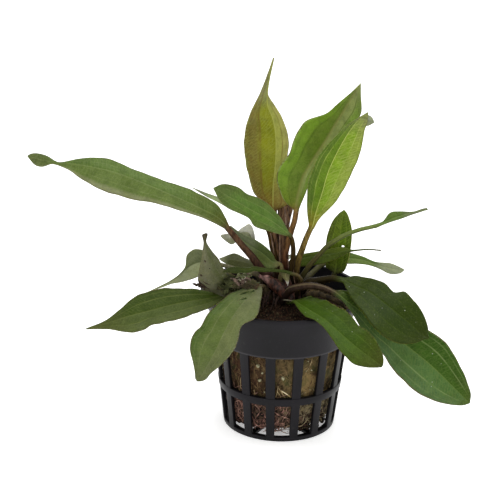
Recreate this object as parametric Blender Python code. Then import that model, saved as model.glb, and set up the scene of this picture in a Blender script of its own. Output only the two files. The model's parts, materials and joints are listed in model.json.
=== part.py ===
"""A potted amazon sword plant: a black net pot of 50 mm holding a fibrous plug with a rosette of leaves.

Metres. +Z is up, +X is to the right and -Y is the front. The origin is the centre of the pot's bottom,
which is the face that the pot stands on.
"""

import collections
import math

import bmesh
import bpy
import numpy as np

MM = 0.001

# pot, in millimetres
BARS = 15
BAR_SHARE = 0.38
FIRST_BAR = -98
POT_HEIGHT = 50
POT_WALL = 1.2
BOTTOM_BAND = 1.6
RING_FOOT = 14.6
RING_TOP = 17.4
COLLAR_FOOT = 34
FLARE_FOOT = 42.5
LIP_FOOT = 48.6
BOTTOM_RADIUS = 20.1
BODY_RADIUS = 24.2
COLLAR_RADIUS = 24.7
FLARE_RADIUS = 25.7
LIP_RADIUS = 29.1
FOOT_INNER_RADIUS = 17.6
HUB_RADIUS = 6
SPOKE_EVERY = 3
# of the four steps from one bar to the next, two lie on the bar and two on the slot
STEPS_PER_BAR = 4
BAR_STEPS = 2
# height of the little ledge under the collar
LEDGE = 0.01

# what the pot holds, in millimetres
CROWN_TOP = 50
CROWN_FOOT = 47.1
CROWN_DROP = 0.05
CROWN_RADII = (6.8, 5.4, 3.6, 1.6)
CROWN_BEVEL = 1

# turned outlines as (radius, height), from the axis at the bottom to the axis at the top
PLUG_OUTLINE = [
    (0, 13.4), (17, 13.4), (18.6, 14.6), (19.6, 22), (20.8, 32), (21.6, 40), (20.6, 43.4),
    (15, 44.6), (8.4, 46.6), (0, 46.8),
]
ROOT_OUTLINE = [(0, 3.6), (13, 3.6), (16.4, 5), (17.6, 8), (17.4, 11.4), (16, 13), (0, 13)]
PLUG_LUMP = 0.5
ROOT_LUMP = 0.7
PLUG_SIDES = 30
ROOT_SIDES = 24
CROWN_SIDES = 20
# the lumps leave alone what is nearer to the axis than this
LUMP_FREE = 6

# what all leaves share: rings along the stalk and the blade, thickness at the midrib and beside it,
# how the blade thins to its tip, and the share of the blade in which the round stalk turns flat
STALK_RINGS = 6
BLADE_RINGS = 11
MIDRIB_THICK = 0.5
BLADE_THICK = 0.3
THINNING = 0.7
FLATTENING = 0.15
# a stalk's height at half its width, as a share of its radius, and where a blade's middle points lie
STALK_SHOULDER = 0.7
BLADE_SHOULDER = 0.5
# how finely a route is measured, and the step that gives its direction
ROUTE_SAMPLES = 400
ROUTE_STEP = 0.002

# leaves, in millimetres and degrees
# base: radius, direction and height at the crown; route: the midrib from the crown to the tip
# blade: share of the length where the blade starts; left, right: its half widths, evenly spaced to the tip
# face: directions that the upper side looks in, as turn and rise; fold: rise of both halves from the midrib
# stalk: radius at the crown and under the blade
Leaf = collections.namedtuple("Leaf", "base route blade left right face fold stalk")
LEAVES = {
    # tall olive leaf, straight up, with a long drawn-out tip
    "leaf_01": Leaf(
        base=(2, 127, 50.5),
        route=[
            (-1.1, 3, 56.6), (-1.7, 3.8, 60.5), (-2.1, 4, 64.6), (-2.6, 4.2, 69.4), (-3.1, 4.4, 74.2),
            (-3.7, 4.6, 79.4), (-4.1, 5, 86.8), (-3.7, 5.5, 92.2), (-3.4, 6.5, 98.5), (-3.6, 8, 105),
            (-4.7, 9, 110.6), (-6.7, 10, 115.3), (-7, 11.2, 119.4), (-6.4, 12.2, 124.6),
            (-5.3, 13, 131),
        ],
        blade=0.34,
        left=(0.8, 7, 9, 10.5, 11, 11, 9.5, 6, 2, 1, 0),
        right=(0.8, 4.5, 5.5, 6, 6, 5.5, 4, 1.5, 0.5, 0.5, 0),
        face=[(-100, 5), (-110, 12), (-110, 15), (-110, 20)],
        fold=22,
        stalk=(1.1, 1.0),
    ),
    # tall green leaf folded along a brown midrib, leaning right
    "leaf_02": Leaf(
        base=(1.3, 25, 51),
        route=[
            (0.8, 0, 56), (0.6, 0, 62.4), (1.1, 0, 65.8), (1.8, 0, 69.2), (2.7, 0, 73), (3.7, 0, 76.8),
            (4.2, 0.3, 81.2), (4.6, 0.6, 85.9), (5.6, 1, 90.6), (6.8, 1.2, 93.9), (9.8, 2, 99.2),
            (13.9, 3, 105.8), (17.4, 4, 112.1), (20.4, 5, 117.1), (22.7, 5.6, 121.3), (25, 6, 124.9),
        ],
        blade=0.37,
        left=(1, 6, 9, 9.5, 8.5, 7.5, 5.5, 3.5, 2, 1, 0),
        right=(1, 3, 5, 6.5, 7, 7.5, 8, 8.5, 8.5, 6.5, 0),
        face=[(-105, 5), (-112, 12), (-100, 18), (-62, 25)],
        fold=26,
        stalk=(1.05, 1.0),
    ),
    # bright green leaf in front of the tall ones, its tip hooked over
    "leaf_03": Leaf(
        base=(3.7, -8, 50),
        route=[
            (4.6, -1.6, 57.7), (5.1, -2, 61.3), (5.7, -2.6, 64.2), (6.5, -3, 66.7), (7.6, -4, 70.8),
            (9, -4.6, 74.8), (9.9, -5, 76.9), (10.9, -5.6, 81.9), (12.8, -6.4, 89.5), (14.8, -7, 97.9),
            (18.5, -7, 106.7), (22.1, -6.6, 113.1), (25.1, -6.2, 116.8), (27.5, -6, 118.7),
        ],
        blade=0.35,
        left=(0.8, 3.5, 5, 6.5, 7, 7, 5, 3, 2, 0.5, 0),
        right=(1, 2.5, 4.5, 6, 7.5, 7.5, 7, 5.5, 3.5, 2, 0),
        face=[(-90, 5), (-85, 10), (-85, 12), (-80, 10), (-75, 10)],
        fold=18,
        stalk=(1.15, 0.95),
    ),
    # the longest leaf, reaching left, a twisted neck before its end lobe
    "leaf_04": Leaf(
        base=(5.2, 193, 49.7),
        route=[
            (-5.4, -4.5, 56.8), (-8, -5.6, 60.5), (-11, -7, 65.2), (-14.3, -8, 69.4),
            (-16.8, -9, 72.9), (-18.9, -9.6, 75.7), (-21.7, -10.4, 79.3), (-26, -12, 83),
            (-35.5, -13, 88), (-47, -13, 93), (-58.5, -12, 97), (-69.5, -11, 99), (-78.5, -10, 99.5),
            (-84, -9, 100), (-89, -9, 101.3),
        ],
        blade=0.31,
        left=(0.8, 2.5, 3, 4, 5, 6, 7, 7.5, 7, 5, 1.5, 2.5, 0),
        right=(0.8, 3.5, 5, 5.5, 4.5, 4, 4, 4.5, 4, 2.5, 0.8, 2, 0),
        face=[(-100, 30), (-100, 40), (-95, 45), (-90, 45), (-90, 38), (-90, 20)],
        fold=-12,
        stalk=(1.5, 1.05),
    ),
    # broad round-tipped leaf reaching left across the stalks
    "leaf_05": Leaf(
        base=(3.4, -62, 50.5),
        route=[
            (2.4, -3, 56.5), (3.1, -3.6, 60.8), (3.4, -4.4, 64.9), (3.3, -5, 68.5), (2.5, -6, 72.4),
            (0.2, -8.4, 75.6), (-5.5, -13, 81.5), (-12, -16, 86), (-18.5, -19, 91), (-24.5, -21, 95.5),
        ],
        blade=0.38,
        left=(0.8, 1.5, 3, 4.5, 5, 3.5, 4, 3, 0),
        right=(0.8, 1.5, 3, 4, 5, 4.5, 4.5, 3.5, 0),
        face=[(-120, 20), (-100, 36), (-95, 38), (-95, 38)],
        fold=8,
        stalk=(1.0, 0.75),
    ),
    # dark leaf lying out to the left
    "leaf_06": Leaf(
        base=(8.4, 196, 48.8),
        route=[
            (-9.5, -5, 52), (-15, -7.5, 51.8), (-23.7, -15, 52.8), (-32.3, -18.4, 52.5),
            (-39.1, -21, 51.9), (-45.9, -23.6, 50.8), (-52.7, -25.6, 49.6), (-60.2, -27, 47.4),
            (-68, -27, 45),
        ],
        blade=0.22,
        left=(0.8, 1, 3, 5, 6.5, 7.5, 8, 7, 2.5, 0),
        right=(0.8, 5, 5.5, 6, 6, 6, 4.5, 1.5, 0.5, 0),
        face=[(-120, 60), (-100, 55), (-95, 50), (-90, 45)],
        fold=8,
        stalk=(1.15, 0.95),
    ),
    # pale leaf hanging over the rim at front left
    "leaf_07": Leaf(
        base=(8.4, 238, 48.8),
        route=[
            (-7, -8, 54.5), (-9, -14, 55.5), (-13, -21, 54.5), (-17, -28, 51.5), (-20, -32, 47),
            (-22.5, -35, 42), (-25.5, -37, 36.5), (-28.8, -38, 31),
        ],
        blade=0.18,
        left=(0.8, 3.5, 5.5, 7, 6, 5.5, 6, 5, 2.5, 0),
        right=(0.8, 3, 5, 6.5, 7, 7.5, 9.5, 8.5, 6, 0),
        face=[(-110, 60), (-100, 45), (-100, 30), (-100, 20)],
        fold=6,
        stalk=(1.1, 0.8),
    ),
    # short leaf hanging over the rim at front right
    "leaf_08": Leaf(
        base=(8.6, -72, 48.8),
        route=[
            (4.5, -13, 51), (9, -21, 51.5), (14, -29, 51.5), (18.5, -33, 49), (22.5, -36, 46.5),
            (27, -38, 43.5), (34, -40, 39),
        ],
        blade=0.02,
        left=(0.8, 5.5, 6.5, 7, 6.5, 6.5, 7, 7.5, 6.5, 0),
        right=(0.8, 1, 3, 4, 3.5, 3.5, 4.5, 5, 4, 0),
        face=[(-70, 55), (-70, 45), (-70, 40), (-70, 40)],
        fold=8,
        stalk=(1, 0.55),
    ),
    # largest low leaf, its stalk arching over the rim at the right
    "leaf_09": Leaf(
        base=(6.5, -95, 49),
        route=[
            (1.6, -8.4, 52.6), (3.6, -10, 54.8), (6, -11, 55.9), (9.1, -12, 56.8), (11.9, -13, 57),
            (14.7, -14, 56.7), (17.4, -15.2, 55.9), (20, -15.6, 54.2), (26.5, -17, 50),
            (35.5, -18, 43), (43.5, -18, 37.5), (52.5, -19, 30.5), (60.5, -20, 23), (67, -20, 16.5),
        ],
        blade=0.27,
        left=(0.8, 5, 8.5, 10.5, 10.5, 9.5, 9.5, 9, 7.5, 5, 0),
        right=(0.8, 1.5, 2.5, 3, 5.5, 9.5, 11.5, 11.5, 9.5, 5.5, 0),
        face=[(-60, 60), (-62, 50), (-68, 38), (-72, 30), (-75, 28)],
        fold=8,
        stalk=(1.6, 1.0),
    ),
    # dark broad leaf above the low right one
    "leaf_10": Leaf(
        base=(6.4, -18, 49),
        route=[
            (8.6, -4, 54.6), (11, -5, 55.8), (13.8, -6.5, 57), (16.5, -8, 58.1), (18.6, -9.5, 58.7),
            (21.4, -11, 58.6), (26, -13.4, 57.3), (30.5, -17, 56.5), (38, -22, 52.5),
            (44.5, -25, 48.2), (48.6, -27, 45.2), (50.6, -27.8, 44.6),
        ],
        blade=0.32,
        left=(0.8, 2, 4.5, 5.5, 6, 6.5, 7.5, 6.5, 5, 0),
        right=(0.8, 2, 4.5, 6.5, 8.5, 10, 10.5, 9, 7.5, 0),
        face=[(-80, 70), (-66, 48), (-68, 38), (-70, 32)],
        fold=8,
        stalk=(1.3, 1.1),
    ),
    # small upright oval leaf at the right
    "leaf_11": Leaf(
        base=(6.4, 8, 49.2),
        route=[
            (9.3, 5.4, 50.4), (12.9, 7.2, 50.5), (15.8, 8.6, 50.7), (18, 9.4, 51.6), (19.2, 10, 54.3),
            (19.6, 10, 58.2), (20.1, 10, 63.9), (20.6, 10.6, 70.2), (21.4, 11, 77),
        ],
        blade=0.42,
        left=(0.8, 3.5, 4, 4, 4.5, 4.5, 3.5, 2.5, 0),
        right=(0.8, 3, 4, 4.5, 4.5, 4.5, 4, 3, 0),
        face=[(-90, 60), (-100, 20), (-100, 8), (-100, 8)],
        fold=12,
        stalk=(0.95, 0.85),
    ),
    # thin stalk running up to the right, with a small narrow blade
    "leaf_12": Leaf(
        base=(5, 40, 49.5),
        route=[
            (6.5, 2, 54), (8, 1.6, 56.6), (9.6, 1.2, 59.4), (12.4, 1, 63), (14.8, 1, 66.1),
            (17.5, 1, 68.4), (21.7, 2, 70.8), (27, 3, 72.6), (31.6, 4, 73.5), (36, 4.6, 75),
            (39.5, 5, 76.6), (45, 5, 78.5), (50.8, 5, 80),
        ],
        blade=0.66,
        left=(0.8, 1.5, 2.5, 1, 0.5, 0),
        right=(0.8, 1, 2, 1.5, 1, 0),
        face=[(-100, 40), (-100, 40), (-100, 50), (-90, 60)],
        fold=8,
        stalk=(0.85, 0.75),
    ),
    # pale leaf at the back right, turned over near its end
    "leaf_13": Leaf(
        base=(7.6, 40, 48.8),
        route=[
            (8.6, 8.4, 51.3), (10.8, 11, 52.5), (13, 13, 53.9), (15.9, 14.5, 55.2), (19.1, 15.6, 56.3),
            (23.5, 16.6, 56.3), (29.2, 19.5, 54.7), (32.6, 21, 53), (36, 22, 51.6), (39.8, 23, 50.3),
            (45.2, 24, 49.4),
        ],
        blade=0.42,
        left=(0.8, 1.5, 2, 2.5, 3, 3, 3, 2.5, 0),
        right=(0.8, 2, 2.5, 2.5, 3, 3, 3, 2.5, 0),
        face=[(-90, 50), (-90, 50), (-90, 50), (-95, 40), (-95, 30)],
        fold=6,
        stalk=(0.9, 0.75),
    ),
    # narrow leaf at the right that ends in a needle
    "leaf_14": Leaf(
        base=(4.6, 72, 50),
        route=[
            (2.5, 5, 58), (4, 5, 59.5), (8, 5.5, 60.7), (12.5, 5.5, 61.6), (17.5, 5.5, 62.4),
            (22, 5.5, 63.4), (26, 6.5, 63.5), (30.5, 8, 63.3), (35.5, 9, 62.8),
        ],
        blade=0.21,
        left=(0.8, 1.5, 1.5, 1.5, 1.5, 1, 0.5, 0, 0),
        right=(0.8, 2.5, 3, 2.5, 2, 1, 0.5, 0.5, 0),
        face=[(-90, 45), (-90, 45), (-90, 45), (-90, 45)],
        fold=6,
        stalk=(0.9, 0.6),
    ),
    # small leaf tucked against the stalk of the longest one
    "leaf_15": Leaf(
        base=(4.2, 245, 50),
        route=[
            (-0.5, -3.6, 60.3), (-4, -3.1, 62.2), (-7.5, -2.6, 65), (-12, -1.9, 67.6),
            (-15.5, -1.4, 70.3), (-19, -0.6, 74.3),
        ],
        blade=0.33,
        left=(0.8, 3, 3.5, 2, 1, 0),
        right=(0.8, 2, 2.5, 2.5, 1.5, 0),
        face=[(-110, 30), (-110, 35), (-110, 30), (-110, 25)],
        fold=8,
        stalk=(1, 0.55),
    ),
    # small pale leaf behind, at the left
    "leaf_16": Leaf(
        base=(5.2, 135, 49.5),
        route=[
            (-7.4, 6, 58.3), (-9.7, 8, 62.2), (-11, 9, 65.5), (-12.2, 10, 67.7), (-14.1, 11, 67.7),
            (-16.2, 11.5, 66.8), (-19.1, 11.5, 64.9), (-22.4, 11, 66.2),
        ],
        blade=0.5,
        left=(0.8, 3, 3.5, 2.5, 0),
        right=(0.8, 3, 2.5, 2, 0),
        face=[(-100, 20), (-80, 20), (-90, 25), (-100, 25)],
        fold=6,
        stalk=(0.8, 0.5),
    ),
    # narrow leaf behind the longest one
    "leaf_17": Leaf(
        base=(2.7, 190, 50.5),
        route=[
            (-2.2, 0.6, 57), (-3, 1.5, 62.5), (-4, 2, 66), (-4.8, 2.5, 70), (-6.3, 3, 73.2),
            (-9.2, 3.5, 75.9), (-14, 4, 78.5), (-21, 5, 81), (-27.5, 6, 83.5), (-33, 6, 86),
        ],
        blade=0.46,
        left=(0.8, 2, 2, 1, 1, 0),
        right=(0.8, 0.5, 1.5, 1, 0.5, 0),
        face=[(-100, 10), (-120, 25), (-100, 40), (-100, 45)],
        fold=8,
        stalk=(1.1, 0.9),
    ),
    # wilted leaf, standing up from a crumpled lower half
    "leaf_18": Leaf(
        base=(6.3, 222, 49),
        route=[
            (-9.2, -6.4, 54.2), (-13, -9.8, 55.5), (-18.5, -12.5, 56.8), (-22.6, -15, 59),
            (-25, -17, 63.1),
            (-26.4, -17, 67.5), (-27.2, -16.5, 71.6), (-27.6, -16, 74.2), (-27.2, -15, 76.8),
        ],
        blade=0.26,
        left=(0.8, 2.6, 3.6, 4.2, 5, 4.5, 4, 3, 1, 1, 0),
        right=(0.8, 2.5, 3.5, 4, 4.5, 4.5, 3.5, 2, 1, 1, 0),
        face=[(-110, 60), (-100, 30), (-90, 0), (-85, -8), (-85, -5)],
        fold=6,
        stalk=(0.95, 0.7),
    ),
    # grey-green leaf drooping left behind the wilted one
    "leaf_19": Leaf(
        base=(7.4, 152, 48.8),
        route=[
            (-8.5, 5, 53.5), (-15, 7, 54.4), (-21.5, 7, 56.5), (-27.8, 6.4, 58.2), (-32.5, 6, 58),
            (-34.9, 5, 55.2), (-37.4, 4, 52.8), (-42, 3, 49.9), (-47.2, 2, 47.8),
        ],
        blade=0.42,
        left=(0.8, 5, 7, 6.5, 3, 1.5, 0),
        right=(0.8, 3.5, 5, 2, 1, 1, 0),
        face=[(-100, 40), (-100, 35), (-100, 25), (-100, 30)],
        fold=8,
        stalk=(0.95, 0.7),
    ),
    # small dark leaf at the back left
    "leaf_20": Leaf(
        base=(5, 105, 49.5),
        route=[
            (-4.5, 8, 53.5), (-7.5, 12, 54), (-12.5, 17, 53.5), (-17, 21, 53), (-23, 24, 52),
        ],
        blade=0.35,
        left=(0.8, 3.5, 3.5, 2.5, 0),
        right=(0.8, 1.5, 1.5, 2.5, 0),
        face=[(-100, 50), (-100, 45), (-100, 45)],
        fold=6,
        stalk=(0.9, 0.6),
    ),
    # narrow curled leaf lying across the stalks to the left
    "leaf_21": Leaf(
        base=(5.6, -40, 49.5),
        route=[
            (6.4, -6, 55.5), (5.2, -8, 58.8), (2.9, -10, 60.4), (0.1, -12, 62), (-4, -14.5, 63.3),
            (-7.5, -17, 64.3), (-10.2, -19, 65.5), (-12.4, -20.5, 65.5), (-15.8, -21.5, 66),
            (-18.8, -22, 66), (-21.4, -22, 65),
        ],
        blade=0.3,
        left=(1, 4.5, 2, 1.5, 2, 3, 3.5, 0),
        right=(0.8, 1, 1, 1, 1.5, 2, 2.5, 0),
        face=[(-80, 60), (-100, 40), (-100, 30), (-100, 30)],
        fold=10,
        stalk=(0.95, 0.6),
    ),
    # leaf drooping over the rim at the back
    "leaf_22": Leaf(
        base=(7.4, 99, 48.8),
        route=[
            (0, 9, 53), (0, 17, 55), (-1, 26, 53), (-2, 35, 48), (-4, 44, 41),
        ],
        blade=0.3,
        left=(0.8, 3, 5.5, 6, 5, 3, 0),
        right=(0.8, 3, 5.5, 6, 5, 3, 0),
        face=[(90, 85), (90, 80), (90, 60), (90, 50)],
        fold=8,
        stalk=(0.9, 0.6),
    ),
}

# the dead stalk under the right leaves
DEAD_ROUTE = [
    (7.8, -5.2, 49.8), (9.6, -8, 51.8), (12.4, -10.3, 53), (14.5, -11.3, 52.8), (17, -12.3, 52.2),
    (19.4, -13.3, 51.3), (21.5, -14.2, 50.4),
]
DEAD_RADII = [1.1, 1, 1, 1.1, 1.3]
DEAD_SIDES = 8
DEAD_RINGS = 8
# how far its end swells out past the last ring
DEAD_END = 0.4

# colours as linear red, green, blue, with roughness
BLACK_PLASTIC = (0.03, 0.028, 0.033), 0.45
PLUG_FIBRE = (0.13, 0.085, 0.04), 0.95
ROOTS = (0.26, 0.12, 0.08), 0.8
CROWN_SKIN = (0.12, 0.05, 0.035), 0.7
DEAD_SKIN = (0.17, 0.1, 0.07), 0.8
GREEN = (0.09, 0.19, 0.035), 0.4
OLIVE = (0.2, 0.19, 0.035), 0.4
BRIGHT_GREEN = (0.2, 0.36, 0.03), 0.4
DARK_GREEN = (0.05, 0.11, 0.02), 0.4
PALE_GREEN = (0.2, 0.26, 0.13), 0.55
WILTED = (0.15, 0.16, 0.1), 0.7
LEAF_LOOKS = {
    "olive": (OLIVE, {"leaf_01"}),
    "bright": (BRIGHT_GREEN, {"leaf_02", "leaf_03"}),
    "dark": (DARK_GREEN, {"leaf_06", "leaf_09", "leaf_10", "leaf_11", "leaf_14", "leaf_20", "leaf_21"}),
    "pale": (PALE_GREEN, {"leaf_07", "leaf_13", "leaf_16", "leaf_17", "leaf_19"}),
    "wilted": (WILTED, {"leaf_18"}),
}


def clear_scene():
    for obj in list(bpy.data.objects):
        bpy.data.objects.remove(obj)


def material(name, colour, roughness):
    mat = bpy.data.materials.new(name)
    mat.use_nodes = True
    shader = mat.node_tree.nodes["Principled BSDF"]
    shader.inputs["Base Color"].default_value = (*colour, 1)
    shader.inputs["Roughness"].default_value = roughness
    shader.inputs["Metallic"].default_value = 0
    mat.diffuse_color = (*colour, 1)
    return mat


def add_object(name, bm, look):
    """Closes the bmesh into an object of its own, its points given in millimetres."""
    bmesh.ops.scale(bm, vec=(MM, MM, MM), verts=bm.verts)
    bmesh.ops.recalc_face_normals(bm, faces=bm.faces)
    mesh = bpy.data.meshes.new(name)
    bm.to_mesh(mesh)
    bm.free()
    obj = bpy.data.objects.new(name, mesh)
    bpy.context.scene.collection.objects.link(obj)
    mesh.materials.append(material(name, *look))
    return obj


def unit(vectors):
    return vectors / np.linalg.norm(vectors, axis=-1, keepdims=True)


def smooth(values, shares):
    """A smooth curve through evenly spaced values, read at shares of its length."""
    values = np.asarray(values, float).reshape(len(values), -1)
    ends = 2 * values[:1] - values[1:2], values, 2 * values[-1:] - values[-2:-1]
    before, start, stop, after = (np.vstack(ends)[k : k + len(values) - 1] for k in range(4))
    place = np.clip(np.asarray(shares) * (len(values) - 1), 0, len(values) - 1.000001)
    k = place.astype(int)
    f = (place - k)[:, None]
    slope = stop[k] - before[k]
    bend = 2 * before[k] - 5 * start[k] + 4 * stop[k] - after[k]
    rest = 3 * start[k] - before[k] - 3 * stop[k] + after[k]
    return start[k] + f / 2 * (slope + f * (bend + f * rest))


def along(route, shares):
    """Points of the smooth route at shares of its real length."""
    fine = smooth(route, np.linspace(0, 1, ROUTE_SAMPLES))
    steps = np.linalg.norm(np.diff(fine, axis=0), axis=1)
    length = np.concatenate([[0], np.cumsum(steps)])
    return np.stack([np.interp(shares, length / length[-1], fine[:, k]) for k in range(3)], axis=1)


def crown_height(radius):
    return CROWN_TOP - CROWN_DROP * radius * radius


def directions(face, shares):
    turn, rise = np.radians(np.array(face, float)).T
    flat = np.cos(rise)
    return unit(smooth(np.stack([flat * np.cos(turn), flat * np.sin(turn), np.sin(rise)], axis=1), shares))


def leaf_frame(leaf, shares):
    """Midrib points, directions up from the blade and directions to its right."""
    radius, turn, height = leaf.base
    turn = math.radians(turn)
    start = (radius * math.cos(turn), radius * math.sin(turn), height)
    route = [start] + leaf.route
    before, after = np.clip(shares - ROUTE_STEP, 0, 1), np.clip(shares + ROUTE_STEP, 0, 1)
    ahead = unit(along(route, after) - along(route, before))
    up = directions(leaf.face, shares)
    up = unit(up - (up * ahead).sum(axis=1, keepdims=True) * ahead)
    return along(route, shares), up, np.cross(ahead, up)


def leaf_rings(leaf, shares):
    """Eight points round the leaf at each share: an oval stalk that flattens into a folded blade."""
    centre, up, right = leaf_frame(leaf, shares)
    in_blade = np.clip((shares - leaf.blade) / (1 - leaf.blade), 0, 1)
    flat = np.clip(in_blade / FLATTENING, 0, 1)[:, None]
    thin = leaf.stalk[0] + (leaf.stalk[1] - leaf.stalk[0]) * np.clip(shares / leaf.blade, 0, 1)
    rings = np.empty((len(shares), 8, 3))
    fold = math.radians(leaf.fold)
    sides = []
    for sign, widths in ((-1, leaf.left), (1, leaf.right)):
        width = np.maximum(smooth(widths, in_blade)[:, 0], 0)
        width = np.where(in_blade > 0, np.maximum(width, thin * (1 - in_blade)), thin)[:, None]
        out = right * sign * (1 + (math.cos(fold) - 1) * flat) + up * math.sin(fold) * flat
        shoulder = STALK_SHOULDER + (BLADE_SHOULDER - STALK_SHOULDER) * flat
        sides.append((width * out, shoulder * width * out))
    taper = 1 - THINNING * in_blade[:, None]
    middle = up * (thin[:, None] * (1 - flat) + MIDRIB_THICK * taper * flat)
    quarter = up * (STALK_SHOULDER * thin[:, None] * (1 - flat) + BLADE_THICK * taper * flat)
    (left, half_left), (right_edge, half_right) = sides
    offsets = (
        left,
        half_left + quarter,
        middle,
        half_right + quarter,
        right_edge,
        half_right - quarter,
        -middle,
        half_left - quarter,
    )
    for k, offset in enumerate(offsets):
        rings[:, k] = centre + offset
    return rings


def loft(bm, rings, tip):
    """A skin over the rings, closed by a flat end at the first and a point after the last."""
    loops = [[bm.verts.new(point) for point in ring] for ring in rings]
    count = len(loops[0])
    for first, second in zip(loops, loops[1:]):
        for k in range(count):
            after = (k + 1) % count
            bm.faces.new((first[k], first[after], second[after], second[k]))
    bm.faces.new(loops[0])
    end = bm.verts.new(tip)
    for k in range(count):
        bm.faces.new((loops[-1][k], loops[-1][(k + 1) % count], end))


def build_leaf(name, leaf, look):
    stalk = np.linspace(0, leaf.blade, STALK_RINGS, endpoint=False)
    blade = np.linspace(leaf.blade, 1, BLADE_RINGS + 1)
    shares = np.concatenate([stalk, blade])
    bm = bmesh.new()
    rings = leaf_rings(leaf, shares[:-1])
    tip = leaf_frame(leaf, shares)[0][-1]
    loft(bm, rings, tip)
    return add_object(name, bm, look)


def pot_radius(height):
    levels = [0, COLLAR_FOOT - LEDGE, COLLAR_FOOT, FLARE_FOOT, LIP_FOOT]
    radii = [BOTTOM_RADIUS, BODY_RADIUS, COLLAR_RADIUS, FLARE_RADIUS, LIP_RADIUS]
    return float(np.interp(height, levels, radii))


def pot_turns():
    """Directions of the pot's upright edges: two steps across each bar and two across each slot."""
    pitch = 360 / BARS
    bar = pitch * BAR_SHARE
    turns = []
    for k in range(BARS):
        middle = FIRST_BAR + k * pitch
        turns += [middle - bar / 2, middle, middle + bar / 2, middle + pitch / 2]
    return turns


def build_pot():
    """The outer skin of the pot as a lattice with open slots, then thickened inwards into one moulding."""
    turns = [math.radians(turn) for turn in pot_turns()]
    count = len(turns)
    bm = bmesh.new()

    def ring(radius, height):
        return [bm.verts.new((radius * math.cos(t), radius * math.sin(t), height)) for t in turns]

    def band(lower, upper, is_solid):
        for k in range(count):
            after = (k + 1) % count
            if is_solid(k):
                bm.faces.new((lower[k], lower[after], upper[after], upper[k]))

    def everywhere(k):
        return True

    def on_bar(k):
        return k % STEPS_PER_BAR < BAR_STEPS

    def on_spoke(k):
        return on_bar(k) and k // STEPS_PER_BAR % SPOKE_EVERY == 0

    levels = [0, BOTTOM_BAND, RING_FOOT, RING_TOP, COLLAR_FOOT, FLARE_FOOT, LIP_FOOT, POT_HEIGHT]
    kinds = [everywhere, on_bar, everywhere, on_bar, everywhere, everywhere, everywhere]
    rings = [ring(pot_radius(level), level) for level in levels]
    for lower, upper, kind in zip(rings, rings[1:], kinds):
        band(lower, upper, kind)
    foot = ring(FOOT_INNER_RADIUS, 0)
    hub = ring(HUB_RADIUS, 0)
    band(foot, rings[0], everywhere)
    band(hub, foot, on_spoke)
    centre = bm.verts.new((0, 0, 0))
    for k in range(count):
        bm.faces.new((centre, hub[k], hub[(k + 1) % count]))
    pot = add_object("net_pot", bm, BLACK_PLASTIC)
    wall = pot.modifiers.new("wall", "SOLIDIFY")
    wall.thickness = POT_WALL * MM
    wall.offset = -1
    wall.use_even_offset = True
    return pot


def build_turned(name, outline, look, sides, lump):
    """A body turned round the axis from its outline, with soft lumps on its side."""
    bm = bmesh.new()
    rings = []
    for radius, height in outline[1:-1]:
        ring = []
        for k in range(sides):
            turn = 2 * math.pi * k / sides
            swell = lump * (math.sin(3 * turn + height / 3) + 0.6 * math.sin(7 * turn - height / 2)) - lump
            reach = radius + (swell if radius > LUMP_FREE else 0)
            ring.append(bm.verts.new((reach * math.cos(turn), reach * math.sin(turn), height)))
        rings.append(ring)
    for lower, upper in zip(rings, rings[1:]):
        for k in range(sides):
            after = (k + 1) % sides
            bm.faces.new((lower[k], lower[after], upper[after], upper[k]))
    for ring, (_, height) in ((rings[0], outline[0]), (rings[-1], outline[-1])):
        centre = bm.verts.new((0, 0, height))
        for k in range(sides):
            bm.faces.new((centre, ring[k], ring[(k + 1) % sides]))
    return add_object(name, bm, look)


def build_crown():
    outline = [(0, CROWN_FOOT), (CROWN_RADII[0] - CROWN_BEVEL, CROWN_FOOT)]
    outline += [(radius, crown_height(radius)) for radius in CROWN_RADII]
    outline.append((0, CROWN_TOP))
    return build_turned("crown", outline, CROWN_SKIN, CROWN_SIDES, 0)


def build_dead_stalk():
    shares = np.linspace(0, 1, DEAD_RINGS)
    centre = along(DEAD_ROUTE, shares)
    radii = smooth(DEAD_RADII, shares)[:, 0]
    ahead = unit(np.gradient(centre, axis=0))
    side = unit(np.cross(ahead, (0, 0, 1)))
    up = np.cross(side, ahead)
    rings = []
    for point, radius, across, rise in zip(centre, radii, side, up):
        turns = [2 * math.pi * k / DEAD_SIDES for k in range(DEAD_SIDES)]
        rings.append([point + radius * (math.cos(t) * across + math.sin(t) * rise) for t in turns])
    bm = bmesh.new()
    loft(bm, rings, centre[-1] + ahead[-1] * DEAD_END)
    return add_object("dead_stalk", bm, DEAD_SKIN)


def leaf_look(name):
    for look, names in LEAF_LOOKS.values():
        if name in names:
            return look
    return GREEN


def main():
    clear_scene()
    build_pot()
    build_turned("growing_plug", PLUG_OUTLINE, PLUG_FIBRE, PLUG_SIDES, PLUG_LUMP)
    build_turned("root_mat", ROOT_OUTLINE, ROOTS, ROOT_SIDES, ROOT_LUMP)
    build_crown()
    build_dead_stalk()
    for name, leaf in LEAVES.items():
        build_leaf(name, leaf, leaf_look(name))


main()
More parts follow.
